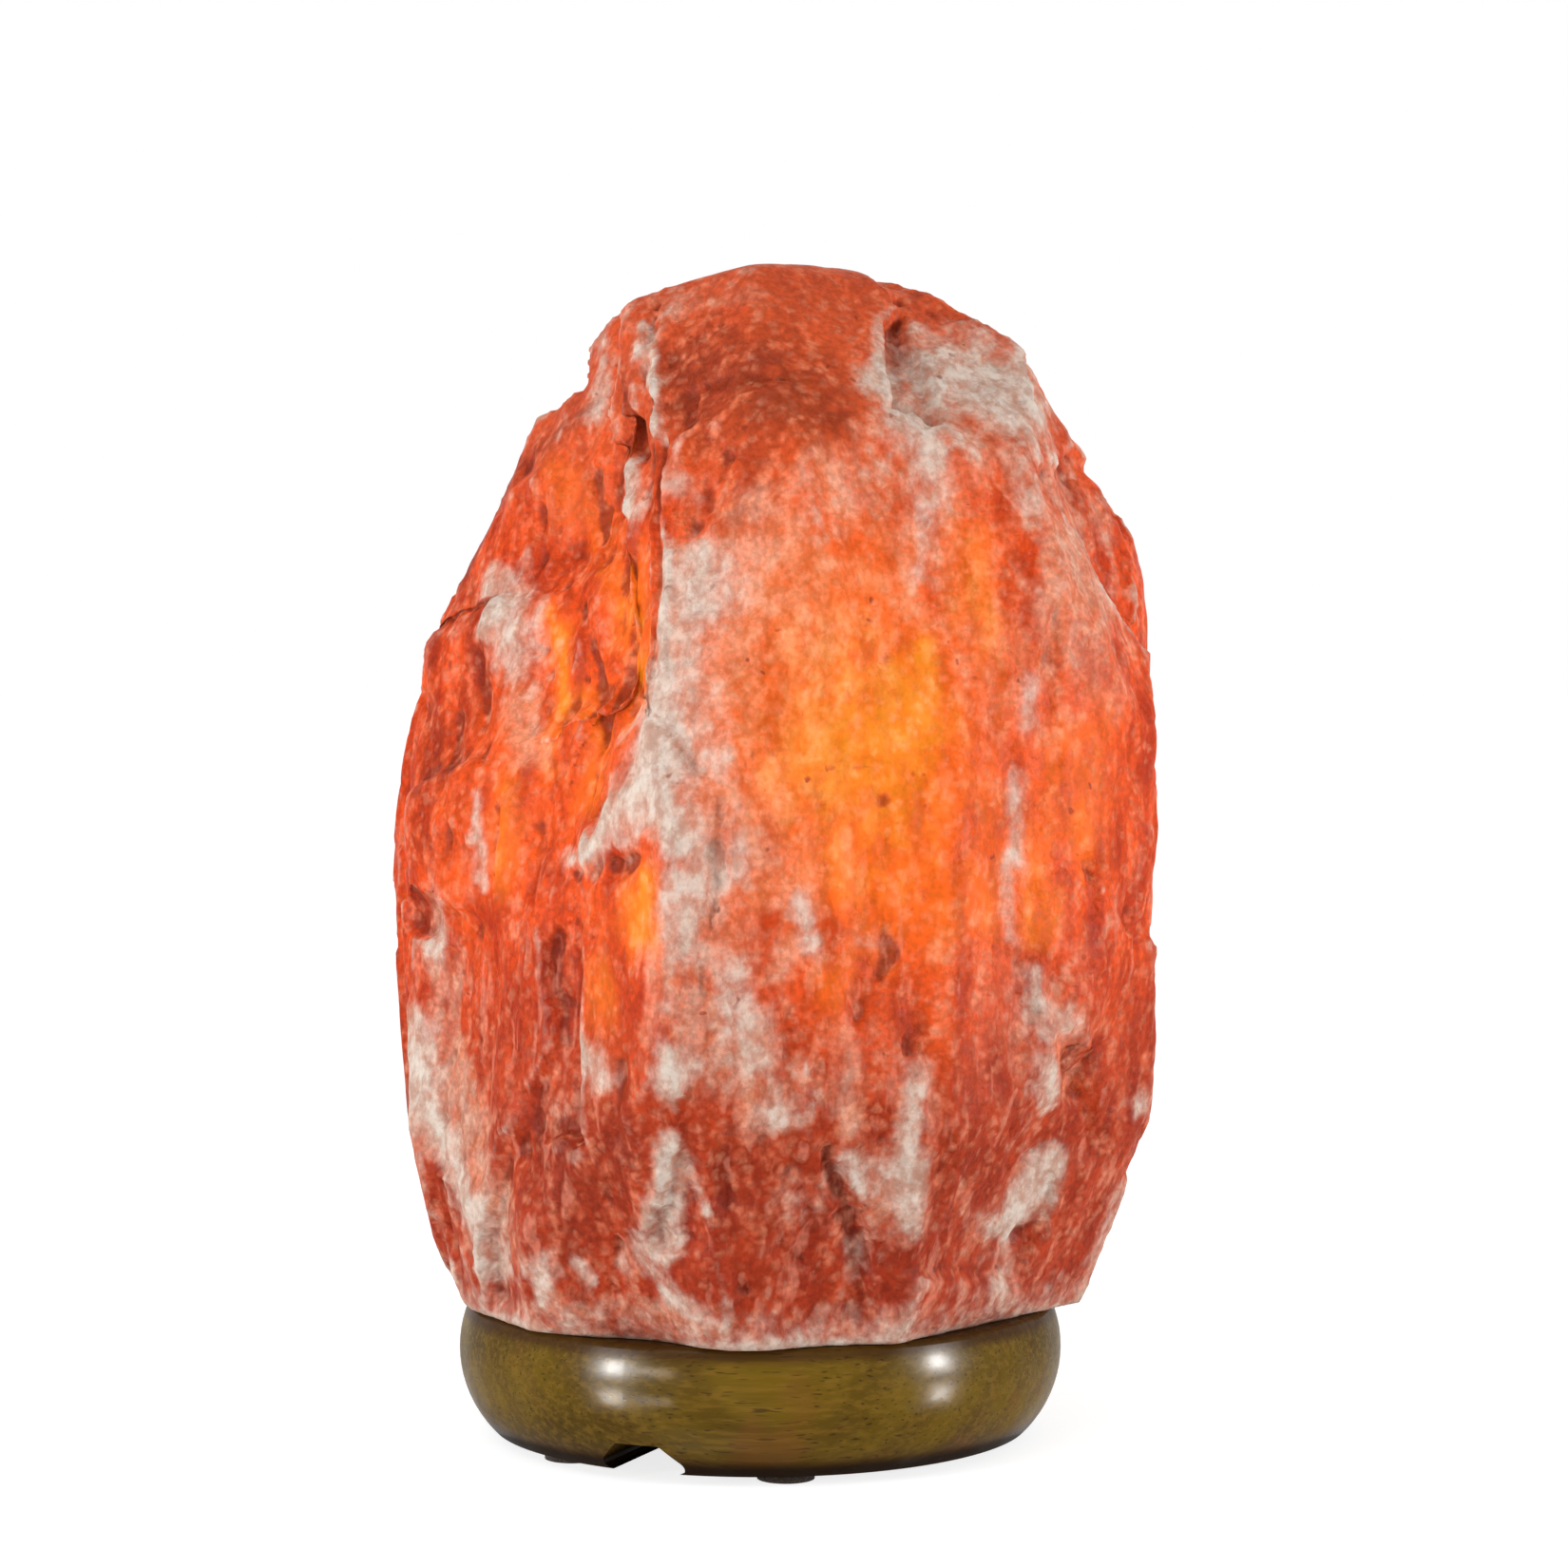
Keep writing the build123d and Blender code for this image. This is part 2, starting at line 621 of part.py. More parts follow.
with BuildPart() as threaded_shell:
    with BuildSketch(level(block_top)):
        Circle(shell_outer_radius + shell_flange_width)
    extrude(amount=shell_flange_thickness)
    with BuildSketch(level(block_top)):
        Circle(shell_outer_radius)
    extrude(amount=shell_height)
    with BuildSketch(level(block_top)):
        Circle(shell_bore_radius)
    extrude(amount=shell_height, mode=Mode.SUBTRACT)
    add_thread_rib(shell_bore_radius, thread_root_radius + thread_clearance, shell_rib_level, shell_rib_turns)
finish(threaded_shell, "threaded_shell")

# ---------------------------------------------------------------- bulb
with BuildPart() as bulb_tip_contact:
    with BuildSketch(level(tip_bottom)):
        Circle(tip_radius)
    extrude(amount=tip_height)
    fillet(bulb_tip_contact.edges().group_by(Axis.Z)[0], tip_edge_round)
finish(bulb_tip_contact, "bulb_tip_contact")

with BuildPart() as bulb_insulator:
    with BuildSketch(Plane.XZ):
        with BuildLine():
            insulator_top_radius = thread_root_radius - insulator_side_clearance
            Polyline((0, insulator_bottom), (insulator_foot_radius, insulator_bottom),
                     (insulator_top_radius, bulb_cap_bottom), (0, bulb_cap_bottom), close=True)
        make_face()
    revolve(axis=Axis.Z)
finish(bulb_insulator, "bulb_insulator")

with BuildPart() as bulb_cap:
    with BuildSketch(Plane.XZ):
        with BuildLine():
            flare_top = skirt_bottom + skirt_flare_height
            inner_thread = thread_root_radius - cap_wall
            inner_skirt = skirt_radius - cap_wall
            inner_floor = bulb_cap_bottom + cap_wall
            Polyline((0, bulb_cap_bottom), (thread_root_radius, bulb_cap_bottom),
                     (thread_root_radius, skirt_bottom), (skirt_radius, flare_top), (skirt_radius, skirt_top),
                     (inner_skirt, skirt_top), (inner_skirt, flare_top), (inner_thread, skirt_bottom),
                     (inner_thread, inner_floor), (0, inner_floor), close=True)
        make_face()
    revolve(axis=Axis.Z)
    add_thread_rib(thread_root_radius, thread_crest_radius, cap_rib_level, cap_rib_turns)
finish(bulb_cap, "bulb_cap")

neck_foot = skirt_top - glass_neck_depth
ball_level = skirt_top + glass_ball_height


def add_bulb_outline(ball: float, neck: float):
    """Draws half of the bulb: a straight neck, a cone that touches the ball, and the ball."""
    # the cone runs from the neck's top at the skirt to where it touches the ball
    reach = hypot(neck, ball_level - skirt_top)
    touch = degrees(atan2(skirt_top - ball_level, neck) + asin(sqrt(1 - (ball / reach) ** 2)))
    touching = (ball * cos(radians(touch)), ball_level + ball * sin(radians(touch)))
    crown = (0, ball_level + ball)
    half_way = radians((touch + 90) / 2)
    Polyline((0, neck_foot), (neck, neck_foot), (neck, skirt_top), touching)
    ThreePointArc(touching, (ball * cos(half_way), ball_level + ball * sin(half_way)), crown)
    Line(crown, (0, neck_foot))


with BuildPart() as bulb_glass:
    with BuildSketch(Plane.XZ):
        with BuildLine():
            add_bulb_outline(glass_radius, glass_neck_radius)
        make_face()
    revolve(axis=Axis.Z)
    with BuildSketch(Plane.XZ):
        with BuildLine():
            add_bulb_outline(glass_radius - glass_wall, glass_neck_radius - glass_wall)
        make_face()
    revolve(axis=Axis.Z, mode=Mode.SUBTRACT)
finish(bulb_glass, "bulb_glass")

stem_glass_top = skirt_top + stem_glass_height
with BuildPart() as bulb_stem:
    with BuildSketch(Plane.XZ):
        with BuildLine():
            Polyline((0, neck_foot), (stem_glass_foot_radius, neck_foot), (stem_glass_radius, skirt_top),
                     (stem_glass_radius, stem_glass_top), (0, stem_glass_top), close=True)
        make_face()
    revolve(axis=Axis.Z)
finish(bulb_stem, "bulb_stem")

lead_top = skirt_top + lead_height
with BuildPart() as bulb_leads:
    for side in (-1, 1):
        with BuildLine(Plane.XZ):
            root, tip = side * lead_root_spread, side * lead_spread
            lead_path = FilletPolyline(
                (root, stem_glass_top), (root, stem_glass_top + lead_rise),
                (tip, lead_top - lead_rise), (tip, lead_top), radius=2 * lead_radius,
            )
        with BuildSketch(Plane((side * lead_root_spread, 0, stem_glass_top))):
            Circle(lead_radius)
        sweep(path=lead_path)
finish(bulb_leads, "bulb_leads")

with BuildPart() as bulb_filament:
    with BuildLine(Plane.XZ):
        arch = ThreePointArc((-lead_spread, lead_top), (0, lead_top + lead_spread), (lead_spread, lead_top))
    with BuildSketch(Plane((-lead_spread, 0, lead_top))):
        Circle(filament_radius)
    sweep(path=arch)
finish(bulb_filament, "bulb_filament")
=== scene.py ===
from math import cos, pi, radians, sin
from random import Random

import bmesh
import bpy
import numpy as np
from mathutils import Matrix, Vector, noise
from mathutils.bvhtree import BVHTree
from mathutils.kdtree import KDTree


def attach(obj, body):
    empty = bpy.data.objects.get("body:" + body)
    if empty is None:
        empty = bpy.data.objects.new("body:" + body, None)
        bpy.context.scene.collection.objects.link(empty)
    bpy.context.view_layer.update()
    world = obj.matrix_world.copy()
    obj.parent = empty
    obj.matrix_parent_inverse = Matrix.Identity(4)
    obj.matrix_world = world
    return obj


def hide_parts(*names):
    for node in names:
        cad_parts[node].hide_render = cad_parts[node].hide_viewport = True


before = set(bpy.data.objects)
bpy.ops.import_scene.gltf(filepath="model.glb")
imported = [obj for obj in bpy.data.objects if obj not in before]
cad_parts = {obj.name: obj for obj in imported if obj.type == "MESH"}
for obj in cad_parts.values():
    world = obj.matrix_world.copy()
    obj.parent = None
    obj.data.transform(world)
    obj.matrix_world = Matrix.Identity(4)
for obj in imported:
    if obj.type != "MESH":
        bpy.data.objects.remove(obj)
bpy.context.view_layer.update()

# ---------------------------------------------------------------- camera
# It stands 0.8 m in front of the lamp, a little above the crystal's middle, and looks slightly down
# through a long lens.
CAMERA_PLACE = (0.00474, -0.8, 0.1666)
CAMERA_PITCH = 2.65  # degrees below level
SENSOR_WIDTH = 36
FOCAL_WIDTHS = 4230.6 / 1650  # the focal length as a multiple of the sensor's width

camera_data = bpy.data.cameras.new("camera")
camera_data.sensor_width = SENSOR_WIDTH
camera_data.lens = SENSOR_WIDTH * FOCAL_WIDTHS
camera = bpy.data.objects.new("camera", camera_data)
camera.location = CAMERA_PLACE
camera.rotation_euler = (radians(90 - CAMERA_PITCH), 0, 0)
bpy.context.scene.collection.objects.link(camera)
bpy.context.scene.camera = camera
bpy.context.scene.view_settings.view_transform = "Standard"


# ---------------------------------------------------------------- wooden base
# One disc of hardwood turned to a barrel edge, bored for the lamp holder and hollowed underneath, with a
# groove for the cord. It is stained olive brown, lacquered and polished.
def mm(*lengths):
    """Lengths in millimetres as a point in metres."""
    return Vector(lengths) / 1000


def tint(red, green, blue):
    """A colour of 0 to 255 as the linear colour that a shader takes."""
    shares = [amount / 255 for amount in (red, green, blue)]
    return [share / 12.92 if share < 0.04045 else ((share + 0.055) / 1.055) ** 2.4 for share in shares] + [1]


class Signal:
    """A number, colour or place that varies over a surface. Sums and products of numbers add Math nodes."""

    def __init__(self, finish, socket):
        self.finish = finish
        self.socket = socket

    def __add__(self, other):
        return self.finish.math("ADD", self, other)

    def __sub__(self, other):
        return self.finish.math("SUBTRACT", self, other)

    def __rsub__(self, other):
        return self.finish.math("SUBTRACT", other, self)

    def __mul__(self, other):
        return self.finish.math("MULTIPLY", self, other)

    __radd__ = __add__
    __rmul__ = __mul__


class Finish:
    """The nodes of a material or world, and the ways of adding them. Its lengths are in millimetres."""

    def __init__(self, name, kinds=bpy.data.materials):
        self.owner = kinds.new(name)
        self.owner.use_nodes = True
        self.tree = self.owner.node_tree
        self.tree.nodes.clear()
        metres = self.node("ShaderNodeTexCoord", output="Object")
        self.place = self.node("ShaderNodeVectorMath", {"operation": "SCALE"}, {0: metres, "Scale": 1000})

    def node(self, kind, settings=None, inputs=None, output=0):
        """Adds a node: its settings first, then the values or links of its sockets."""
        node = self.tree.nodes.new(kind)
        for setting, value in (settings or {}).items():
            if setting == "stops":
                ramp = node.color_ramp
                while len(ramp.elements) < len(value):
                    ramp.elements.new(1)
                for stop, (position, colour) in zip(ramp.elements, value):
                    stop.position = position
                    stop.color = colour
            else:
                setattr(node, setting, value)
        for name, value in (inputs or {}).items():
            if isinstance(value, Signal):
                self.tree.links.new(value.socket, node.inputs[name])
            else:
                node.inputs[name].default_value = value
        return Signal(self, node.outputs[output]) if node.outputs else node

    def math(self, operation, first, second=0.0):
        """A Math node on one or two signals or numbers."""
        return self.node("ShaderNodeMath", {"operation": operation}, {0: first, 1: second})

    def mapped(self, scale=(1, 1, 1), turn=(0, 0, 0), at=None):
        """The place, turned and then squeezed or stretched along each axis."""
        angles = [radians(angle) for angle in turn]
        return self.node("ShaderNodeMapping", None, {0: at or self.place, "Rotation": angles, "Scale": scale})

    def grain(self, size, at=None, detail=3.0, roughness=0.55):
        """Noise with lumps of about a size."""
        return self.node(
            "ShaderNodeTexNoise", None,
            {"Vector": at or self.place, "Scale": 1 / size, "Detail": detail, "Roughness": roughness},
        )

    def cells(self, size, at=None, output="Distance"):
        """Cells of about a size."""
        inputs = {"Vector": at or self.place, "Scale": 1 / size}
        return self.node("ShaderNodeTexVoronoi", None, inputs, output=output)

    def part(self, axis):
        """One coordinate of the place, X, Y or Z."""
        return self.node("ShaderNodeSeparateXYZ", None, {0: self.place}, output=axis)

    def ease(self, signal, low, high, to_low=0.0, to_high=1.0):
        """Goes smoothly from to_low to to_high as the signal goes from low to high."""
        return self.node(
            "ShaderNodeMapRange", {"interpolation_type": "SMOOTHSTEP"},
            {0: signal, 1: low, 2: high, 3: to_low, 4: to_high},
        )

    def blend(self, share, first, second):
        """The first colour, with a share of the second over it."""
        return self.node("ShaderNodeMix", {"data_type": "RGBA"}, {0: share, 6: first, 7: second}, output=2)

    def wander(self, size, reach):
        """The place, moved about by up to a reach by noise of a size."""
        inputs = {"Vector": self.place, "Scale": 1 / size, "Detail": 2.0}
        drift = self.node("ShaderNodeTexNoise", None, inputs, output=1)
        centred = self.node("ShaderNodeVectorMath", {"operation": "SUBTRACT"}, {0: drift, 1: (0.5, 0.5, 0.5)})
        scaled = self.node("ShaderNodeVectorMath", {"operation": "SCALE"}, {0: centred, "Scale": 2 * reach})
        return self.node("ShaderNodeVectorMath", {"operation": "ADD"}, {0: self.place, 1: scaled})

    def relief(self, height, depth, under=None):
        """The normal of a surface whose height varies by a depth."""
        inputs = {"Height": height, "Distance": depth / 1000, "Strength": 1.0}
        if under is not None:
            inputs["Normal"] = under
        return self.node("ShaderNodeBump", None, inputs)

    def close(self, **sockets):
        """Ends the material in its shader. Underscores in the names of sockets stand for spaces."""
        inputs = {name.replace("_", " "): value for name, value in sockets.items()}
        shader = self.node("ShaderNodeBsdfPrincipled", None, inputs)
        self.node("ShaderNodeOutputMaterial", None, {"Surface": shader})
        return self.owner


def dress(name, material):
    """Gives a piece of the frame its finish."""
    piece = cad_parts[name]
    for number in range(len(piece.material_slots)):
        piece.material_slots[number].material = material


EARLY_WOOD, GOLDEN_WOOD, LATE_WOOD = tint(72, 54, 8), tint(102, 79, 16), tint(70, 48, 12)
PALE_FIBRE, DARK_PORE, RED_STREAK = tint(128, 97, 34), tint(46, 30, 12), tint(118, 66, 34)
BROWN_SHADE, BLACK_SHADE = tint(54, 28, 10), tint(26, 14, 6)
# millimetres up, from where painted shade begins to where it is full: at the foot, at the bottom edge, and
# under the crystal at the rim
FOOT_SHADE_SPAN, EDGE_SHADE_SPAN, RIM_SHADE_SPAN = (8.5, 2.6), (6.0, 3.4), (23.6, 25.6)

wood = Finish("stained_wood")
# growth rings lie round a log's heart under the disc, so they show as long level bands in front
log = wood.wander(38, 5)
across_rings = wood.mapped((0.05, 1, 1), (4, 0, 6), log)
ring_distance = wood.node("ShaderNodeVectorMath", {"operation": "LENGTH"}, {0: across_rings}, output=1)
rings = wood.math("SINE", ring_distance * 0.8 + wood.grain(60, detail=2) * 7)
late_wood = wood.ease(rings, -0.2, 0.95)
fibres = wood.grain(1.1, wood.mapped((0.045, 1, 1), (0, 0, 6)), detail=4, roughness=0.65)
pores = wood.ease(wood.grain(0.55, wood.mapped((0.08, 1, 1), (0, 0, 6)), detail=1), 0.62, 0.72)
blotches = wood.grain(26, wood.mapped((0.5, 1, 1.4)), detail=3)
red_streaks = wood.ease(wood.grain(17, detail=2), 0.56, 0.72)
wood_level = wood.part("Z")
# painted shade: darker towards the foot and the bottom edge, where the base meets the table, and under the
# crystal
painted_foot_shade = wood.ease(wood_level, *FOOT_SHADE_SPAN)
painted_rim_shade = wood.ease(wood_level, *RIM_SHADE_SPAN)
painted_edge_shade = wood.ease(wood_level, *EDGE_SHADE_SPAN)
wood_colour = wood.blend(wood.ease(blotches, 0.35, 0.68), EARLY_WOOD, GOLDEN_WOOD)
wood_colour = wood.blend(late_wood * 0.32, wood_colour, LATE_WOOD)
wood_colour = wood.blend(wood.ease(fibres, 0.42, 0.66) * 0.4, wood_colour, PALE_FIBRE)
wood_colour = wood.blend(pores * 0.7, wood_colour, DARK_PORE)
wood_colour = wood.blend(red_streaks * 0.3, wood_colour, RED_STREAK)
# painted shade: brown towards the foot and under the crystal, and black at the bottom edge
wood_colour = wood.blend(painted_foot_shade * 0.7 + painted_rim_shade * 0.75, wood_colour, BROWN_SHADE)
wood_colour = wood.blend(painted_edge_shade * 0.9, wood_colour, BLACK_SHADE)
wood_skin = wood.relief(fibres * 0.6 - pores + late_wood * 0.3, 0.05)
wood_finish = wood.close(
    Base_Color=wood_colour,
    Roughness=wood.ease(fibres, 0.3, 0.7, 0.34, 0.5),
    Specular_IOR_Level=0.0,
    Coat_Weight=wood.ease(wood.grain(9, detail=2), 0.3, 0.7, 0.3, 0.46),
    Coat_Roughness=0.2,
    Coat_IOR=1.27,
    Normal=wood.relief(wood.grain(14, detail=1), 0.25, wood_skin),
)
dress("wood_base", wood_finish)

# ---------------------------------------------------------------- felt pads
# Four discs of pressed brown felt, glued under the base to spare the table.
felt = Finish("felt")
felt_hairs = felt.grain(0.35, felt.wander(0.9, 0.5), detail=5, roughness=0.7)
felt_mat = felt.cells(0.8, felt.wander(1.2, 0.6))
felt_colour = felt.blend(felt.ease(felt_hairs, 0.35, 0.7), tint(38, 27, 20), tint(78, 60, 46))
dress("felt_pads", felt.close(
    Base_Color=felt_colour,
    Roughness=felt.ease(felt_hairs, 0.3, 0.7, 0.85, 1.0),
    Specular_IOR_Level=0.1,
    Sheen_Weight=0.35,
    Sheen_Roughness=0.5,
    Normal=felt.relief(felt_hairs + felt_mat * 0.5, 0.35),
))

# ---------------------------------------------------------------- plugs, screws and washers
# Three ribbed plugs pressed into the crystal, with a zinc-plated screw and washer up into each from the
# wells under the base.
nylon = Finish("plug_plastic")
nylon_cloud = nylon.grain(2.5, detail=3)
dress("screw_plugs", nylon.close(
    Base_Color=nylon.blend(nylon_cloud, tint(176, 176, 170), tint(206, 204, 194)),
    Roughness=nylon.ease(nylon.grain(0.6), 0.3, 0.7, 0.42, 0.6),
    Subsurface_Weight=0.1,
    Subsurface_Scale=0.001,
    Normal=nylon.relief(nylon.grain(0.5), 0.04),
))

zinc = Finish("zinc_steel")
spangle = zinc.cells(2.2, zinc.wander(3, 1.2), output="Color")
spangle_shade = zinc.node("ShaderNodeSeparateColor", None, {0: spangle})
scratches = zinc.ease(zinc.grain(0.25, zinc.mapped((0.04, 1, 1), (0, 0, 35)), detail=2), 0.6, 0.75)
passivation = zinc.ease(zinc.grain(8, detail=3), 0.35, 0.7)
zinc_colour = zinc.blend(spangle_shade * 0.6, tint(150, 154, 162), tint(192, 196, 200))
zinc_colour = zinc.blend(passivation * 0.35, zinc_colour, tint(184, 174, 146))
zinc_finish = zinc.close(
    Base_Color=zinc_colour,
    Metallic=1.0,
    Roughness=zinc.ease(zinc.grain(1.6, detail=4), 0.25, 0.75, 0.24, 0.46) + scratches * 0.12,
    Normal=zinc.relief(scratches * -0.6 + zinc.grain(0.7), 0.02),
)
for name in ("fixing_screws", "fixing_washers", "clip_bracket", "lock_washer", "terminal_screws"):
    dress(name, zinc_finish)

# ---------------------------------------------------------------- stem, nut and contacts
# The hollow stem with its nut, the two contact strips and the threaded shell are brass, dulled by handling.
brass = Finish("brass")
tarnish = brass.ease(brass.grain(5, detail=4, roughness=0.65), 0.42, 0.72)
brass_marks = brass.ease(brass.grain(0.3, brass.mapped((1, 1, 0.08), (25, 0, 0)), detail=2), 0.6, 0.74)
brass_finish = brass.close(
    Base_Color=brass.blend(tarnish * 0.6, tint(222, 184, 108), tint(170, 124, 66)),
    Metallic=1.0,
    Roughness=brass.ease(brass.grain(1.3, detail=3), 0.25, 0.75, 0.2, 0.36) + tarnish * 0.12,
    Normal=brass.relief(brass_marks * -0.5 + brass.grain(0.8), 0.015),
)
for name in ("hollow_stem", "stem_nut", "tip_contact_strip", "shell_contact_strip", "threaded_shell"):
    dress(name, brass_finish)

# ---------------------------------------------------------------- lamp holder and cord bush
# The holder is moulded in two halves from black thermoset, with a ribbed grip, and the bush in the stem's
# end is of the same stuff.
black = Finish("black_plastic")
mould_grain = black.grain(0.45, detail=4, roughness=0.7)
handling = black.ease(black.grain(7, detail=4), 0.45, 0.7)
black_finish = black.close(
    Base_Color=black.blend(mould_grain * 0.6 + handling * 0.3, tint(20, 19, 19), tint(44, 42, 40)),
    Roughness=black.ease(mould_grain, 0.3, 0.7, 0.3, 0.42) + handling * 0.1,
    Normal=black.relief(mould_grain + black.grain(2.5) * 0.8, 0.03),
)
for name in ("holder_cap", "holder_body", "cord_bush"):
    dress(name, black_finish)

ceramic = Finish("white_ceramic")
ceramic_specks = ceramic.ease(ceramic.cells(1.4, ceramic.wander(2, 0.6)), 0.12, 0.05)
dress("contact_block", ceramic.close(
    Base_Color=ceramic.blend(
        ceramic_specks * 0.5,
        ceramic.blend(ceramic.grain(6), tint(224, 220, 208), tint(238, 236, 228)),
        tint(150, 138, 118),
    ),
    Roughness=ceramic.ease(ceramic.grain(0.8), 0.3, 0.7, 0.35, 0.55),
    Normal=ceramic.relief(ceramic.grain(0.6), 0.03),
))

# ---------------------------------------------------------------- bulb
# A small clear round bulb. Its threaded cap is nickel-plated brass over a black glass insulator, with a
# lump of solder for its tip, and a glass stem inside carries two wires and the glowing filament.
nickel = Finish("nickel")
nickel_wear = nickel.ease(nickel.grain(1.8, detail=4), 0.5, 0.75)
dress("bulb_cap", nickel.close(
    Base_Color=nickel.blend(nickel_wear * 0.4, tint(206, 202, 192), tint(178, 166, 140)),
    Metallic=1.0,
    Roughness=nickel.ease(nickel.grain(0.9, detail=3), 0.25, 0.75, 0.16, 0.34),
    Normal=nickel.relief(nickel.grain(1.1), 0.02),
))

vitrite = Finish("black_glass")
dress("bulb_insulator", vitrite.close(
    Base_Color=vitrite.blend(vitrite.grain(1.6, detail=4), tint(14, 10, 18), tint(40, 32, 48)),
    Roughness=vitrite.ease(vitrite.grain(0.9), 0.3, 0.7, 0.08, 0.22),
    Normal=vitrite.relief(vitrite.grain(1.8), 0.06),
))

solder = Finish("solder")
dress("bulb_tip_contact", solder.close(
    Base_Color=solder.blend(solder.grain(0.7, detail=4), tint(150, 150, 152), tint(196, 196, 194)),
    Metallic=1.0,
    Roughness=solder.ease(solder.grain(0.5), 0.3, 0.7, 0.28, 0.5),
    Normal=solder.relief(solder.grain(0.9), 0.12),
))

glass = Finish("clear_glass")
glass_finish = glass.close(
    Base_Color=glass.blend(glass.grain(9), tint(246, 248, 246), tint(255, 255, 255)),
    Roughness=glass.ease(glass.grain(5, detail=2), 0.4, 0.8, 0.0, 0.03),
    IOR=1.5,
    Transmission_Weight=1.0,
    Normal=glass.relief(glass.grain(11, detail=1), 0.06),
)
for name in ("bulb_glass", "bulb_stem"):
    dress(name, glass_finish)

wire = Finish("lead_wire")
dress("bulb_leads", wire.close(
    Base_Color=wire.blend(wire.grain(1.2), tint(176, 166, 156), tint(204, 176, 150)),
    Metallic=1.0,
    Roughness=wire.ease(wire.grain(0.6), 0.3, 0.7, 0.2, 0.4),
    Normal=wire.relief(wire.grain(0.4), 0.01),
))

ember = Finish("filament")
dress("bulb_filament", ember.close(
    Base_Color=ember.blend(ember.grain(0.8), tint(60, 40, 28), tint(96, 66, 44)),
    Roughness=ember.ease(ember.grain(0.4), 0.3, 0.7, 0.4, 0.6),
    Emission_Color=ember.blend(ember.grain(1.5), tint(255, 120, 20), tint(255, 176, 60)),
    Emission_Strength=1.2,
))

# ---------------------------------------------------------------- crystal
# A lump of pink rock salt split and hewn with a chisel, drilled from below for the lamp, which shines
# through it. It is salmon red where it is clear, pale and frosty where it is bruised or veined.
FACE_SIZE = 0.00135  # of the mesh, in metres
FOOT_LEVEL = 27.0  # this and what follows is in millimetres
BORED_RADIUS, BORED_TOP = 27.0, 155.0  # the surface inside these stays as drilled
BEFORE_CRYSTAL, IN_CRYSTAL = -120, -10  # where along Y the front's surface is looked for from
CHIP_COUNT = 5200  # if chips were 1 mm wide, and wider ones are fewer
CHIP_DEPTH = 2.4
SWELL_DEPTH, STROKE_DEPTH, PIT_DEPTH, GRAIN_DEPTH = 1.6, 1.4, 1.9, 0.22
WORN_HEIGHT = 0.6  # what stands out farther is worn down
SUNK = 0.4  # how deep the hewn surface lies under the solid's
PROUD_HEIGHT = 1.2  # an edge that stands out by this is bruised all through
CALM_ROUNDS, PROUD_ROUNDS, FACING_ROUNDS = 70, 16, 30  # of evening out
WANDER_SEED = 1
EVERY_WAY = {"use_axis_x": True, "use_axis_y": True, "use_axis_z": True}

block = bmesh.new()
block.from_mesh(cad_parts["salt_crystal"].data)
bmesh.ops.remove_doubles(block, verts=block.verts, dist=1e-6)
block_mesh = bpy.data.meshes.new("crystal_block")
block.to_mesh(block_mesh)
block.free()
block_object = bpy.data.objects.new("crystal_block", block_mesh)
bpy.context.scene.collection.objects.link(block_object)
remesh = block_object.modifiers.new("grit", "REMESH")
remesh.mode = "VOXEL"
remesh.voxel_size = FACE_SIZE
bpy.context.view_layer.update()
depsgraph = bpy.context.evaluated_depsgraph_get()
crystal_mesh = bpy.data.meshes.new_from_object(block_object.evaluated_get(depsgraph))
bpy.data.objects.remove(block_object)
crystal_mesh.name = "crystal"

lump = bmesh.new()
lump.from_mesh(crystal_mesh)
for _ in range(2):
    bmesh.ops.smooth_vert(lump, verts=lump.verts, factor=0.5, **EVERY_WAY)
lump.normal_update()
lump.verts.ensure_lookup_table()
shell_tree = BVHTree.FromBMesh(lump)
places = np.array([vertex.co for vertex in lump.verts]) * 1000
ends_of_edges = np.array([[vertex.index for vertex in edge.verts] for edge in lump.edges])
neighbour_counts = np.bincount(ends_of_edges.ravel(), minlength=len(places))[:, None]


def evened(values, rounds):
    """Values of the vertices, each mixed with its neighbours' a number of times."""
    for _ in range(rounds):
        total = np.zeros_like(values)
        for axis in range(3):
            total[:, axis] += np.bincount(ends_of_edges[:, 0], values[ends_of_edges[:, 1], axis], len(values))
            total[:, axis] += np.bincount(ends_of_edges[:, 1], values[ends_of_edges[:, 0], axis], len(values))
        values = values * 0.35 + total / neighbour_counts * 0.65
    return values


def rise(value, low, high):
    """Goes smoothly from 0 to 1 as a value goes from low to high."""
    share = np.clip((value - low) / (high - low), 0, 1)
    return share * share * (3 - 2 * share)


def clouded(size, height_share=1.0, seed=0.0):
    """Noise of about a size at every vertex, drawn out along the height by a share under 1."""
    scaled = places / size * (1, 1, height_share) + seed
    return np.array([noise.noise(place) for place in scaled])


def chipped(width, tallness, slope, seed):
    """Flat chips of about a width, each tilted its own way, as a chisel leaves them."""
    dice = Random(seed)
    middles = [places[dice.randrange(len(places))] for _ in range(int(CHIP_COUNT / width ** 1.5))]
    squeeze = np.array((1, 1, 1 / tallness))
    finder = KDTree(len(middles))
    for number, middle in enumerate(middles):
        finder.insert(middle * squeeze, number)
    finder.balance()
    owners = np.array([finder.find(place)[1] for place in wandered * squeeze])
    tilts = np.array([[dice.uniform(-1, 1), dice.uniform(-1, 1), dice.uniform(-0.4, 0.4)] for _ in middles])
    steps = np.array([dice.uniform(-0.12, 0.12) for _ in middles]) * width
    offsets = places - np.array(middles)[owners]
    tilted = (offsets * tilts[owners]).sum(axis=1) * slope
    return np.clip(tilted + steps[owners] * slope * 4, -CHIP_DEPTH, CHIP_DEPTH)


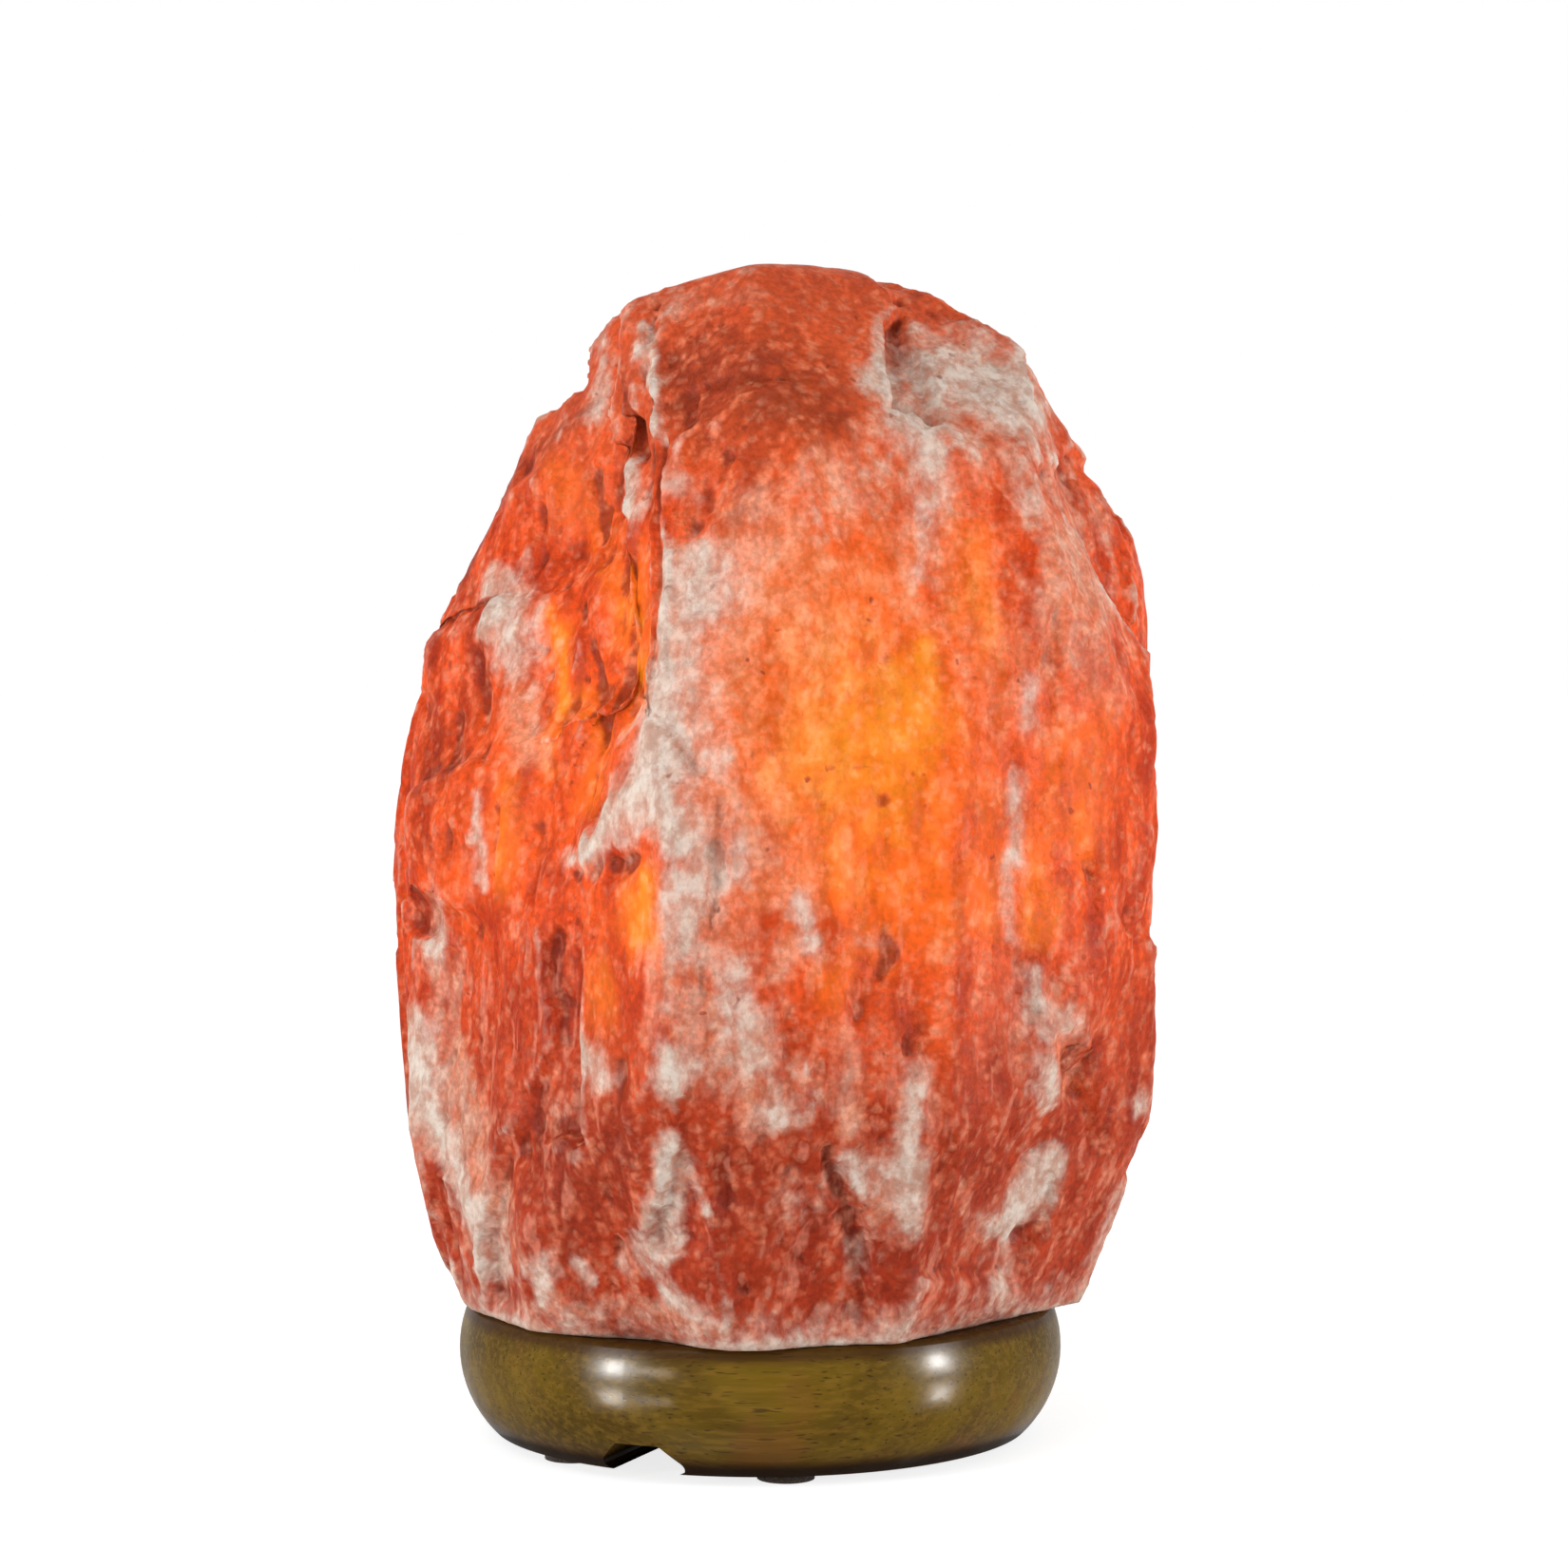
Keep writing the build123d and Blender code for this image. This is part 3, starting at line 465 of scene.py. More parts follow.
# the vertices' places, moved about by noise, so that the edges of chips and strokes wander
noise.seed_set(WANDER_SEED)
drift = np.array([noise.noise_vector(place) for place in places / 8 * (1, 1, 0.4)]) * 1.7
drift += np.array([noise.noise_vector(place) for place in places / 2.8 * (1, 1, 0.5)]) * 0.75
wandered = places + drift


def front_of(x, z):
    """The point of the surface in front of a place, or the nearest one beside it, in millimetres."""
    hit = shell_tree.ray_cast(mm(x, BEFORE_CRYSTAL, z), (0, 1, 0))[0]
    if hit is None:
        hit = shell_tree.find_nearest(mm(x, IN_CRYSTAL, z))[0]
    return np.array(hit) * 1000


# how much farther from a stroke each vertex counts as being, which frays the strokes' edges
ragged = 1 + 0.5 * clouded(4.5, height_share=0.5, seed=12.0)


def reached(strokes):
    """Each stroke's strength and how far every vertex is from it, where 1 is half the stroke's width.

    A stroke goes along the front from x, z to x, z, and then has half a width and a strength.
    """
    for start_x, start_z, end_x, end_z, half_width, strength in strokes:
        start, end = front_of(start_x, start_z), front_of(end_x, end_z)
        along = end - start
        share = np.clip((wandered - start) @ along / (along @ along + 0.01), 0, 1)
        gap = np.linalg.norm((wandered - start - share[:, None] * along) * (1, 0.45, 1), axis=1)
        yield strength, gap * ragged / (half_width * (0.85 + 0.25 * np.sin(pi * share)))


def covered(strokes):
    """How strongly soft strokes cover each vertex, from 0 to 1."""
    bare = np.ones(len(places))
    for strength, gap in reached(strokes):
        bare *= 1 - strength * np.exp(-gap * gap)
    return 1 - bare


def creased(strokes):
    """How deep strokes with firm edges cut into each vertex."""
    return np.max([strength * rise(gap, 1.7, 0.5) for strength, gap in reached(strokes)], axis=0)


def dented(strokes):
    """How deep broad soft strokes press into each vertex, or fill it where their strength is negative."""
    return np.sum([strength * np.exp(-gap * gap) for strength, gap in reached(strokes)], axis=0)


# the marks on the front, as strokes: frost, pale haze, thin places where the lamp's light is painted as glow,
# dark places that are partly darker salt and partly painted shade in creases, furrows, ridges, hollows,
# places without chips and bulges of the outline
frost_strokes = (
    (-21, 219, -21, 199, 2.0, 0.7), (-31, 217, -31, 201, 1.9, 0.6), (-27, 192, -27, 183, 2.0, 1.0),
    (-22, 189, -25, 178, 0.9, 0.5), (-37, 202, -37, 196, 1.1, 0.4), (-18, 178, -18, 152, 1.6, 0.6),
    (-19, 153, -20, 140, 3.1, 1.0), (-19, 143, -18, 131, 5.2, 1.0), (-21, 133, -31, 121, 3.5, 0.9),
    (-38, 118, -33, 119, 2.1, 0.55), (-11, 174, -10, 165, 4.2, 0.85), (-13, 165, -12, 151, 3.8, 0.42),
    (-10, 147, -6, 139, 4.1, 0.26), (-13, 125, -11, 120, 3.1, 0.45), (-15, 189, -12, 185, 2.3, 0.5),
    (-48, 167, -47, 154, 5.1, 0.8), (-55, 129, -54, 111, 1.3, 0.7), (-63, 104, -63, 98, 2.8, 0.8),
    (-68, 83, -68, 69, 3.4, 0.8), (-31, 83, -28, 78, 2.3, 0.85), (-13, 116, -13, 103, 2.8, 0.85),
    (-16, 84, -11, 82, 2.4, 0.65), (-15, 82, -16, 76, 2.4, 0.6), (-67, 77, -64, 64, 3.4, 0.8),
    (-64, 64, -58, 51, 3.5, 0.8), (-58, 51, -52, 37, 3.5, 0.75), (-41, 43, -41, 34, 1.6, 0.85),
    (-34, 43, -33, 41, 1.6, 0.8), (-31, 40, -31, 39, 1.1, 0.7), (-17, 67, -18, 47, 3.0, 0.78),
    (-23, 47, -16, 36, 2.0, 0.6), (-16, 36, -8, 32, 2.0, 0.55), (-26, 42, -25, 41, 1.4, 0.6),
    (-12, 56, -11, 54, 1.4, 0.6), (-4, 98, -1, 84, 4.5, 0.75), (3, 73, 4, 71, 2.1, 0.5),
    (8, 112, 9, 105, 1.9, 0.6), (20, 104, 24, 104, 1.7, 0.5), (29, 81, 27, 63, 2.1, 0.75),
    (27, 63, 26, 51, 2.6, 0.75), (18, 64, 19, 60, 2.1, 0.5), (51, 152, 50, 143, 1.8, 0.65),
    (48, 135, 48, 118, 1.6, 0.7), (47, 119, 47, 103, 1.6, 0.6), (51, 98, 52, 90, 2.1, 0.7),
    (52, 90, 54, 71, 2.2, 0.75), (58, 89, 58, 87, 1.8, 0.7), (56, 59, 47, 47, 3.5, 0.95),
    (47, 47, 41, 49, 1.5, 0.7), (72, 69, 73, 67, 2.2, 0.65), (70, 50, 65, 34, 2.5, 0.45),
    (45, 36, 47, 30, 3.3, 0.65), (17, 46, 17, 41, 2.1, 0.45), (34, 211, 46, 207, 8.4, 0.85),
    (45, 207, 49, 203, 5.5, 0.75), (19, 207, 26, 211, 2.9, 0.7), (24, 204, 26, 199, 2.2, 0.6),
    (30, 200, 32, 193, 3.6, 0.75), (32, 193, 30, 170, 2.1, 0.6), (48, 190, 50, 184, 1.8, 0.55),
    (-5, 119, -7, 116, 3.4, 0.5), (-16, 224, -15, 221, 1.8, 0.45), (-13, 172, -11, 127, 4.2, 0.3),
    (57, 194, 67, 165, 7.4, 0.32), (27, 195, 11, 179, 4.6, 0.32), (0, 179, -3, 165, 3.8, 0.3),
    (-17, 128, -15, 123, 2.4, 0.6), (-6, 119, -4, 117, 3.4, 0.5), (8, 111, 8, 109, 1.6, 0.6),
    (9, 105, 10, 102, 2.2, 0.5), (9, 82, 10, 76, 1.9, 0.42), (1, 76, 5, 70, 2.9, 0.4),
    (22, 61, 27, 59, 4.2, 0.5), (8, 58, 10, 54, 2.6, 0.42),
)
haze_strokes = (
    (-15, 172, -9, 130, 6.3, 0.85), (0, 181, -3, 161, 6.3, 0.6), (11, 186, 23, 190, 6.0, 0.6),
    (7, 168, 11, 158, 7.0, 0.4), (56, 179, 63, 165, 6.9, 0.6), (61, 190, 68, 179, 4.1, 0.45),
    (-59, 74, -55, 52, 6.7, 0.6), (-48, 150, -46, 136, 4.4, 0.7), (-43, 33, -7, 31, 2.9, 0.6),
    (-7, 31, 18, 29, 2.1, 0.5), (18, 29, 44, 29, 2.5, 0.5), (-17, 110, -8, 86, 5.2, 0.25),
    (-28, 81, -43, 68, 4.6, 0.35), (41, 84, 47, 69, 3.6, 0.12), (9, 80, 19, 69, 3.8, 0.35),
    (-10, 72, -17, 61, 2.8, 0.3), (61, 99, 73, 117, 3.6, 0.4), (-5, 132, 0, 120, 4.5, 0.4),
    (27, 168, 26, 179, 3.5, 0.4), (-11, 122, -1, 120, 5.9, 0.5), (-10, 111, -6, 101, 4.8, 0.5),
    (7, 105, 2, 98, 2.1, 0.6), (-17, 98, -6, 81, 7.2, 0.5), (15, 88, 17, 72, 3.1, 0.55),
    (0, 77, 5, 71, 4.5, 0.5), (-65, 98, -60, 80, 3.4, 0.45), (52, 165, 59, 156, 4.3, 0.4),
    (23, 60, 28, 58, 6.0, 0.5), (-20, 224, -2, 224, 4.8, 0.45), (-38, 195, -29, 187, 2.8, 0.35),
    (-47, 153, -45, 138, 4.4, 0.6), (-66, 111, -61, 92, 4.1, 0.5), (-36, 34, -10, 33, 3.2, 0.55),
    (2, 178, 6, 120, 20, 0.5), (30, 185, 44, 150, 15, 0.45), (60, 180, 64, 150, 11, 0.5),
    (-10, 112, 0, 80, 12, 0.35), (40, 100, 60, 80, 15, 0.35), (-60, 70, -50, 45, 8, 0.5),
    (10, 55, 40, 50, 12, 0.3), (36, 208, 50, 196, 9, 0.5),
)
glow_strokes = (
    (12, 138, 29, 143, 10.4, 0.78), (30, 158, 28, 148, 3.0, 0.95), (13, 134, 13, 119, 3.1, 0.35),
    (14, 154, 22, 133, 20.9, 0.48), (13, 165, 19, 128, 43.5, 0.52), (-41, 165, -38, 146, 2.4, 0.85),
    (-39, 146, -43, 136, 3.3, 0.5), (-49, 131, -50, 112, 3.3, 0.55), (-46, 154, -48, 117, 9.2, 0.35),
    (-29, 172, -25, 154, 4.7, 0.5), (-32, 143, -35, 129, 5.3, 0.5), (-20, 116, -21, 104, 4.3, 0.95),
    (-35, 147, -34, 131, 2.9, 0.5), (14, 97, 15, 95, 4.2, 0.5), (16, 115, 17, 112, 3.8, 0.45),
    (62, 139, 61, 123, 7.5, 0.5), (53, 111, 52, 103, 4.3, 0.55), (40, 177, 41, 165, 5.0, 0.62),
    (52, 122, 41, 108, 8.1, 0.4), (-29, 98, -28, 91, 4.2, 0.5), (-37, 191, -32, 179, 6.7, 0.48),
    (-27, 172, -25, 147, 6.1, 0.5), (-61, 126, -59, 105, 5.6, 0.32), (57, 82, 60, 72, 1.8, 0.4),
    (28, 119, 25, 106, 10.5, 0.3), (-29, 110, -28, 76, 4.2, 0.34),
)
dark_and_crease_shade_strokes = (
    (-11, 213, 13, 202, 9.4, 0.7), (-9, 198, -14, 208, 5.4, 0.6), (4, 198, -3, 182, 4.6, 0.55),
    (-27, 218, -25, 197, 1.5, 0.9), (-22, 197, -20, 184, 1.3, 0.8), (-31, 190, -31, 177, 1.1, 0.8),
    (-37, 206, -49, 191, 2.7, 0.7), (-49, 191, -58, 171, 2.5, 0.7), (-58, 171, -64, 153, 2.5, 0.6),
    (-55, 168, -54, 145, 1.5, 0.7), (-66, 146, -67, 116, 3.4, 0.6), (-62, 165, -63, 131, 3.8, 0.55),
    (-34, 165, -33, 143, 1.1, 0.5), (-35, 138, -28, 128, 2.1, 0.3), (-43, 138, -40, 136, 1.3, 0.6),
    (-26, 76, -25, 56, 3.9, 0.5), (-37, 69, -35, 49, 8.2, 0.62), (14, 65, 16, 57, 1.4, 0.8),
    (-1, 72, 0, 52, 6.3, 0.5), (37, 70, 34, 55, 4.6, 0.35), (53, 44, 61, 45, 1.9, 0.5),
    (47, 45, 57, 50, 1.1, 0.5), (29, 43, 18, 34, 4.6, 0.35), (-61, 96, -55, 84, 2.2, 0.3),
    (-41, 101, -31, 84, 6.4, 0.42), (-4, 130, -3, 129, 1.0, 0.6), (75, 87, 77, 70, 1.5, 0.4),
    (-35, 115, -24, 119, 1.4, 0.4), (4, 50, 7, 40, 3.5, 0.35), (25, 49, 29, 38, 3.6, 0.3),
    (71, 78, 73, 63, 3.0, 0.4), (-63, 78, -61, 54, 2.6, 0.3),
)
furrow_strokes = (
    (-27, 219, -25, 195, 1.7, 2.4), (-20, 198, -20, 154, 1.1, 2.0), (-31, 191, -31, 177, 1.1, 1.6),
    (-37, 205, -35, 206, 1.5, 1.4), (-35, 165, -33, 142, 1.1, 1.6), (-56, 168, -54, 137, 1.7, 1.6),
    (-35, 115, -23, 118, 1.6, 1.8), (15, 68, 16, 56, 1.8, 1), (58, 84, 60, 71, 2.0, 1.9),
    (44, 44, 56, 47, 1.8, 1.6), (55, 99, 56, 90, 1.4, 1), (-25, 83, -26, 67, 1.2, 1.4),
    (-35, 80, -37, 60, 1.2, 1.2), (-45, 73, -42, 54, 1.3, 1.0), (-10, 101, -8, 87, 1.5, 0.86),
    (6, 92, 7, 75, 1.6, 0.94), (23, 83, 23, 67, 1.7, 0.72), (34, 69, 33, 50, 1.6, 0.94),
    (11, 61, 9, 44, 1.8, 0.86), (-5, 63, -6, 45, 1.7, 0.86), (-28, 57, -28, 42, 1.4, 1.2),
    (64, 66, 59, 51, 1.8, 1.2), (-51, 128, -51, 112, 1.1, 1.2), (-60, 142, -61, 117, 1.7, 1.4),
    (54, 165, 55, 136, 1.8, 0.86), (63, 118, 62, 98, 1.8, 1), (44, 154, 44, 119, 1.4, 0.72),
    (-48, 187, -40, 204, 1.5, 1.0),
)
ridge_strokes = (
    (-19, 199, -18, 153, 1.2, 1.0), (-19, 142, -18, 131, 3.5, 1.2), (-21, 133, -31, 121, 2.4, 1.6),
    (-27, 192, -27, 183, 1.6, 1.2), (-21, 219, -21, 199, 1.6, 1.2), (-31, 217, -31, 201, 1.7, 1.0),
    (50, 154, 48, 101, 1.4, 1.0), (56, 59, 47, 47, 2.7, 1.8), (29, 81, 27, 51, 1.8, 1.0),
    (-17, 65, -17, 51, 2.1, 1.0), (-12, 116, -12, 104, 1.7, 0.7), (-48, 167, -48, 112, 4.1, 1.3),
    (-2, 95, -1, 83, 2.8, 0.7), (51, 98, 54, 71, 1.6, 0.9), (-41, 43, -41, 34, 1.4, 0.8),
    (-31, 83, -28, 78, 1.6, 1.0), (-63, 106, -63, 97, 1.9, 0.8),
)
hollow_strokes = (
    (-41, 158, -41, 124, 8, 2.6), (-27, 172, -27, 150, 6, 2.6), (-30, 150, -34, 132, 8, 1.8),
    (-44, 190, -40, 176, 7, 1.0), (-38, 100, -36, 60, 9, 1.4), (66, 84, 64, 62, 6, 1.8),
    (8, 150, 22, 120, 16, 0.8), (38, 172, 36, 196, 8, 0.9), (-44, 200, -58, 174, 9, -2.6),
    (-58, 174, -63, 156, 8, -2.6), (-64, 52, -56, 32, 9, 2.6),
)
calm_strokes = ((-38, 178, -44, 126, 16, 0.95), (-52, 178, -62, 136, 14, 0.8), (0, 150, 30, 150, 20, 0.4))
bulge_strokes = (
    (-42, 204, -50, 192, 6, 2.4), (-52, 190, -62, 160, 10, 3.4), (66, 186, 70, 150, 9, 1.8),
    (70, 116, 71, 84, 10, 1.3),
)

# the surface: swells, long strokes and chips of the chisel, pits, and the features of the front
furrowed = creased(furrow_strokes) - creased(ridge_strokes)
calm = covered(calm_strokes)[:, None]
height = clouded(38, seed=3.0) * SWELL_DEPTH
broad_chips = chipped(width=17, tallness=2.2, slope=0.2, seed=5)
small_chips = chipped(width=7, tallness=1.8, slope=0.16, seed=8)
height += (broad_chips + small_chips * 0.8) * (1 - calm[:, 0])
height += (0.3 - np.abs(clouded(7.5, height_share=0.2, seed=9.0))) * STROKE_DEPTH
height -= np.maximum(clouded(3.2, seed=2.0) - 0.2, 0) * PIT_DEPTH
height += clouded(1.9, height_share=0.8, seed=6.0) * GRAIN_DEPTH
height -= furrowed + dented(hollow_strokes)
worn = np.where(height > WORN_HEIGHT, WORN_HEIGHT + (height - WORN_HEIGHT) * 0.3, height)
height = worn - SUNK + dented(bulge_strokes)
radius = np.hypot(places[:, 0], places[:, 1])
round_bore = rise(radius, BORED_RADIUS, BORED_RADIUS + 3)
over_bore = rise(places[:, 2], BORED_TOP, BORED_TOP + 4)
outside = np.maximum(round_bore, over_bore) * rise(places[:, 2], FOOT_LEVEL + 0.4, FOOT_LEVEL + 5)
eased = (evened(places, CALM_ROUNDS) - places) * calm
for vertex, shift, amount in zip(lump.verts, eased * outside[:, None] / 1000, height * outside / 1000):
    vertex.co += Vector(shift) + vertex.normal * amount
bmesh.ops.smooth_vert(lump, verts=lump.verts, factor=0.45, **EVERY_WAY)
for vertex in lump.verts:
    vertex.co.z = max(vertex.co.z, (FOOT_LEVEL + 0.06) / 1000)
for face in lump.faces:
    face.smooth = True
lump.normal_update()
hewn = np.array([vertex.co for vertex in lump.verts]) * 1000
hewn_normals = np.array([vertex.normal for vertex in lump.verts])
lump.to_mesh(crystal_mesh)
lump.free()

# how far each vertex stands out of the surface round it, and how far it faces away from the front
standing = ((hewn - evened(hewn, PROUD_ROUNDS)) * hewn_normals).sum(axis=1)
facing = evened(hewn_normals, FACING_ROUNDS)[:, 1]


def widened(strokes, width_share, strength_share=1.0):
    """The strokes again, with a share of their widths and of their strengths."""
    return [
        (*ends, half_width * width_share, strength * strength_share)
        for *ends, half_width, strength in strokes
    ]


# what the vertices carry for the material below
paint = {
    "frost": covered(widened(frost_strokes, 1.4, 0.92)),
    "haze": covered([*haze_strokes, *widened(frost_strokes, 2.2, 0.45)]),
    "warmth": covered(glow_strokes),
    "dark": covered(widened(dark_and_crease_shade_strokes, 1.2)),
    "proud": np.clip(standing / PROUD_HEIGHT, -1, 1),
    "away": rise(facing, -0.2, 0.15),
}
for name, values in paint.items():
    crystal_mesh.attributes.new(name, "FLOAT", "POINT").data.foreach_set("value", values.astype(np.float32))
crystal = bpy.data.objects.new("crystal", crystal_mesh)
bpy.context.scene.collection.objects.link(crystal)

DEEP_SALMON, BRIGHT_SALMON, DUSTY_SALMON = tint(164, 46, 18), tint(216, 76, 26), tint(186, 84, 52)
DARK_BRICK, DULL_BRICK, SHADED_RED = tint(104, 34, 20), tint(158, 56, 36), tint(112, 36, 22)
WARM_HAZE, PALE_HAZE = tint(184, 112, 82), tint(198, 160, 140)
PINK_DASH, PINK_SUGAR = tint(212, 132, 108), tint(222, 142, 108)
GREY_FROST, WHITE_FROST, RUST_SPECK = tint(170, 146, 132), tint(206, 199, 188), tint(112, 40, 26)
GLOW_STOPS = (
    (0.0, (0, 0, 0, 1)), (0.3, (0.12, 0.024, 0.002, 1)), (0.65, (0.3, 0.085, 0.004, 1)),
    (1.0, (0.46, 0.22, 0.006, 1)),
)

salt = Finish("salt")


def painted(name):
    """What is painted on the crystal's vertices under a name."""
    return salt.node("ShaderNodeAttribute", {"attribute_name": name}, output=2)


def most(*signals):
    """The largest of some signals at each point."""
    result = signals[0]
    for signal in signals[1:]:
        result = salt.math("MAXIMUM", result, signal)
    return result


flow = salt.wander(24, 5)
ripple = salt.wander(6, 1.2)
level = salt.part("Z")
streaks = salt.grain(5.5, salt.mapped((1, 1, 0.34), at=flow), detail=4, roughness=0.6)
mottle = salt.grain(3.4, salt.mapped((1, 1, 0.75), at=ripple), detail=4, roughness=0.66)
grit = salt.grain(1.25, detail=2, roughness=0.5)
beads = salt.cells(2.6, salt.wander(2.2, 1.3))
dots = salt.ease(salt.cells(3.2, salt.mapped((1, 1, 0.8), at=salt.wander(3.4, 2.2))), 0.62, 0.12)
clouds = salt.grain(26, salt.mapped((1, 1, 0.5)), detail=3)
proud = painted("proud")

# frost: painted places in front, veins and banks elsewhere, bruised edges and foot everywhere
away = painted("away")
vein_noise = salt.grain(42, salt.mapped((1, 1, 0.4), at=ripple), detail=2)
veins = salt.ease(salt.math("ABSOLUTE", vein_noise - 0.5), 0.035, 0.0)
banks = salt.ease(salt.grain(24, salt.mapped((1, 1, 0.4), at=ripple), detail=3), 0.54, 0.72)
frost_cover = most(painted("frost"), most(veins * 0.4, banks) * away)
foot_frost = salt.ease(level, 42, 29) * 0.4
frost_cover = most(frost_cover, foot_frost) + salt.ease(proud, 0.12, 0.8) * 0.35
ragged_frost = frost_cover + (mottle - 0.5) * 0.34 + (dots - 0.5) * 0.14 + (streaks - 0.5) * 0.4
frost = salt.ease(ragged_frost, 0.1, 1.08)
haze_cover = most(painted("haze"), salt.ease(clouds, 0.4, 0.7) * (0.2 + away * 0.3), frost_cover * 1.2)
ragged_haze = haze_cover + (streaks - 0.5) * 0.8 + (mottle - 0.5) * 0.5 + (dots - 0.5) * 0.22
haze = salt.ease(ragged_haze, 0.12, 1.0)
# painted shade: darker in the surface's hollows, added to the dark places, which are partly darker salt and
# partly painted shade in creases
dark_and_hollow_shade = painted("dark") * 0.9 + salt.ease(proud, -0.08, -0.7) * 0.75
dark = salt.ease(dark_and_hollow_shade + (mottle - 0.5) * 0.4 - (dots - 0.5) * 0.3, 0.2, 1.05)

# colour: clear salt redder towards the foot and darkened by darker salt and painted shade, under haze, pink
# dashes and grains, frost and rusty specks
red = salt.blend(salt.ease(streaks, 0.3, 0.7), DEEP_SALMON, BRIGHT_SALMON)
red = salt.blend(salt.ease(level, 176, 206) * 0.5, red, DUSTY_SALMON)
red = salt.blend(salt.ease(level, 112, 62) * 0.7, red, salt.blend(streaks, DARK_BRICK, DULL_BRICK))
red = salt.blend(dark * 0.8, red, SHADED_RED)
warmth = painted("warmth")
haze_colour = salt.blend(salt.ease(mottle, 0.3, 0.7), WARM_HAZE, PALE_HAZE)
# where the lamp's light is painted in as glow, the salt shows less haze
salt_colour = salt.blend(haze * (0.9 - warmth * 0.55), red, haze_colour)
dash_noise = salt.grain(3.2, salt.mapped((1, 1, 0.2), at=ripple), detail=2)
dashes = salt.ease(dash_noise, 0.56, 0.7) * salt.ease(level, 150, 85)
salt_colour = salt.blend(dashes * 0.45, salt_colour, PINK_DASH)
sugar = salt.ease(beads, 0.55, 0.15) * salt.ease(salt.grain(7, detail=2), 0.35, 0.65)
pink_grains = sugar * 0.32 + dots * salt.ease(streaks, 0.42, 0.6) * 0.28
salt_colour = salt.blend(pink_grains, salt_colour, PINK_SUGAR)
frost_colour = salt.blend(salt.ease(mottle, 0.35, 0.65), GREY_FROST, WHITE_FROST)
salt_colour = salt.blend(frost * 0.84, salt_colour, frost_colour)
grains = salt.ease(grit, 0.36, 0.64, 0.84, 1.12) * (1 - frost * 0.7) + frost * 0.7
salt_colour = salt.node("ShaderNodeHueSaturation", None, {"Color": salt_colour, "Value": grains})
specks = salt.ease(salt.cells(5.5, salt.wander(4, 2.5)), 0.15, 0.06) * salt.ease(salt.grain(14), 0.45, 0.6)
salt_colour = salt.blend(specks * 0.6, salt_colour, RUST_SPECK)

# glow: painted lamp light, as emission, where the lamp shows through thin places in front and through a belt
# round the sides and back
belt = salt.ease(level, 60, 115) * salt.ease(level, 200, 150) * salt.ease(clouds, 0.35, 0.65, 0.2, 0.8)
glow_share = most(warmth, belt * away * 0.7) * salt.ease(mottle, 0.25, 0.75, 0.84, 1.14)
glow_share = glow_share * (1 - frost * 0.8) * (1 - dark * 0.6) * (1 - specks * 0.6)
glow = salt.node("ShaderNodeValToRGB", {"stops": GLOW_STOPS}, {0: glow_share})
skin = salt.relief(mottle * (1 - frost * 0.6) + salt.ease(beads, 0.5, 0.0) * 0.5 + streaks * 0.6, 0.45)
crystal.data.materials.clear()
crystal.data.materials.append(salt.close(
    Base_Color=salt_colour,
    Roughness=salt.ease(mottle, 0.3, 0.7, 0.34, 0.58) + frost * 0.08,
    Specular_IOR_Level=0.03,
    Subsurface_Weight=0.12,
    Subsurface_Radius=(1.0, 0.35, 0.15),
    Subsurface_Scale=0.003,
    Emission_Color=glow,
    Emission_Strength=1.0,
    Normal=salt.relief(salt.grain(0.9, detail=4, roughness=0.65), 0.16, skin),
))
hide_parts("salt_crystal")
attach(crystal, "crystal_and_base")

# ---------------------------------------------------------------- table, white surroundings and lights
# A wide white table in white surroundings. A softbox stands low at each side, and a large one hangs above.
# The sparkle, halo and strip lamps show only in gloss, and the table mirrors them in the base's lacquer.
WHITE = (1, 1, 1, 1)
SEEN_LIGHT, ROOM_LIGHT = 1.0, 0.62
TABLE_PAINT = (0.86, 0.86, 0.86, 1)
TABLE_LIGHT, TABLE_LIGHT_SHARE = 1.45, 0.55
MIRROR_SHARE, MIRROR_BLUR = 0.65, 0.12
TABLE_HALF_SIZE = 6
LAMP_AIM = (0, 0, 0.04)


def seen(finish):
    """1 for what the camera sees, also in metal and through glass, and 0 for what only lights the lamp."""
    rays = ("Is Camera Ray", "Is Glossy Ray", "Is Transmission Ray")
    direct, mirrored, through = [finish.node("ShaderNodeLightPath", output=ray) for ray in rays]
    return finish.math("MAXIMUM", finish.math("MAXIMUM", direct, mirrored), through)


room = Finish("white_room", bpy.data.worlds)
bpy.context.scene.world = room.owner
room_light = room.node("ShaderNodeBackground", None, {"Color": WHITE, "Strength": ROOM_LIGHT})
room_sight = room.node("ShaderNodeBackground", None, {"Color": WHITE, "Strength": SEEN_LIGHT})
room_mix = room.node("ShaderNodeMixShader", None, {0: seen(room), 1: room_light, 2: room_sight})
room.node("ShaderNodeOutputWorld", None, {"Surface": room_mix})

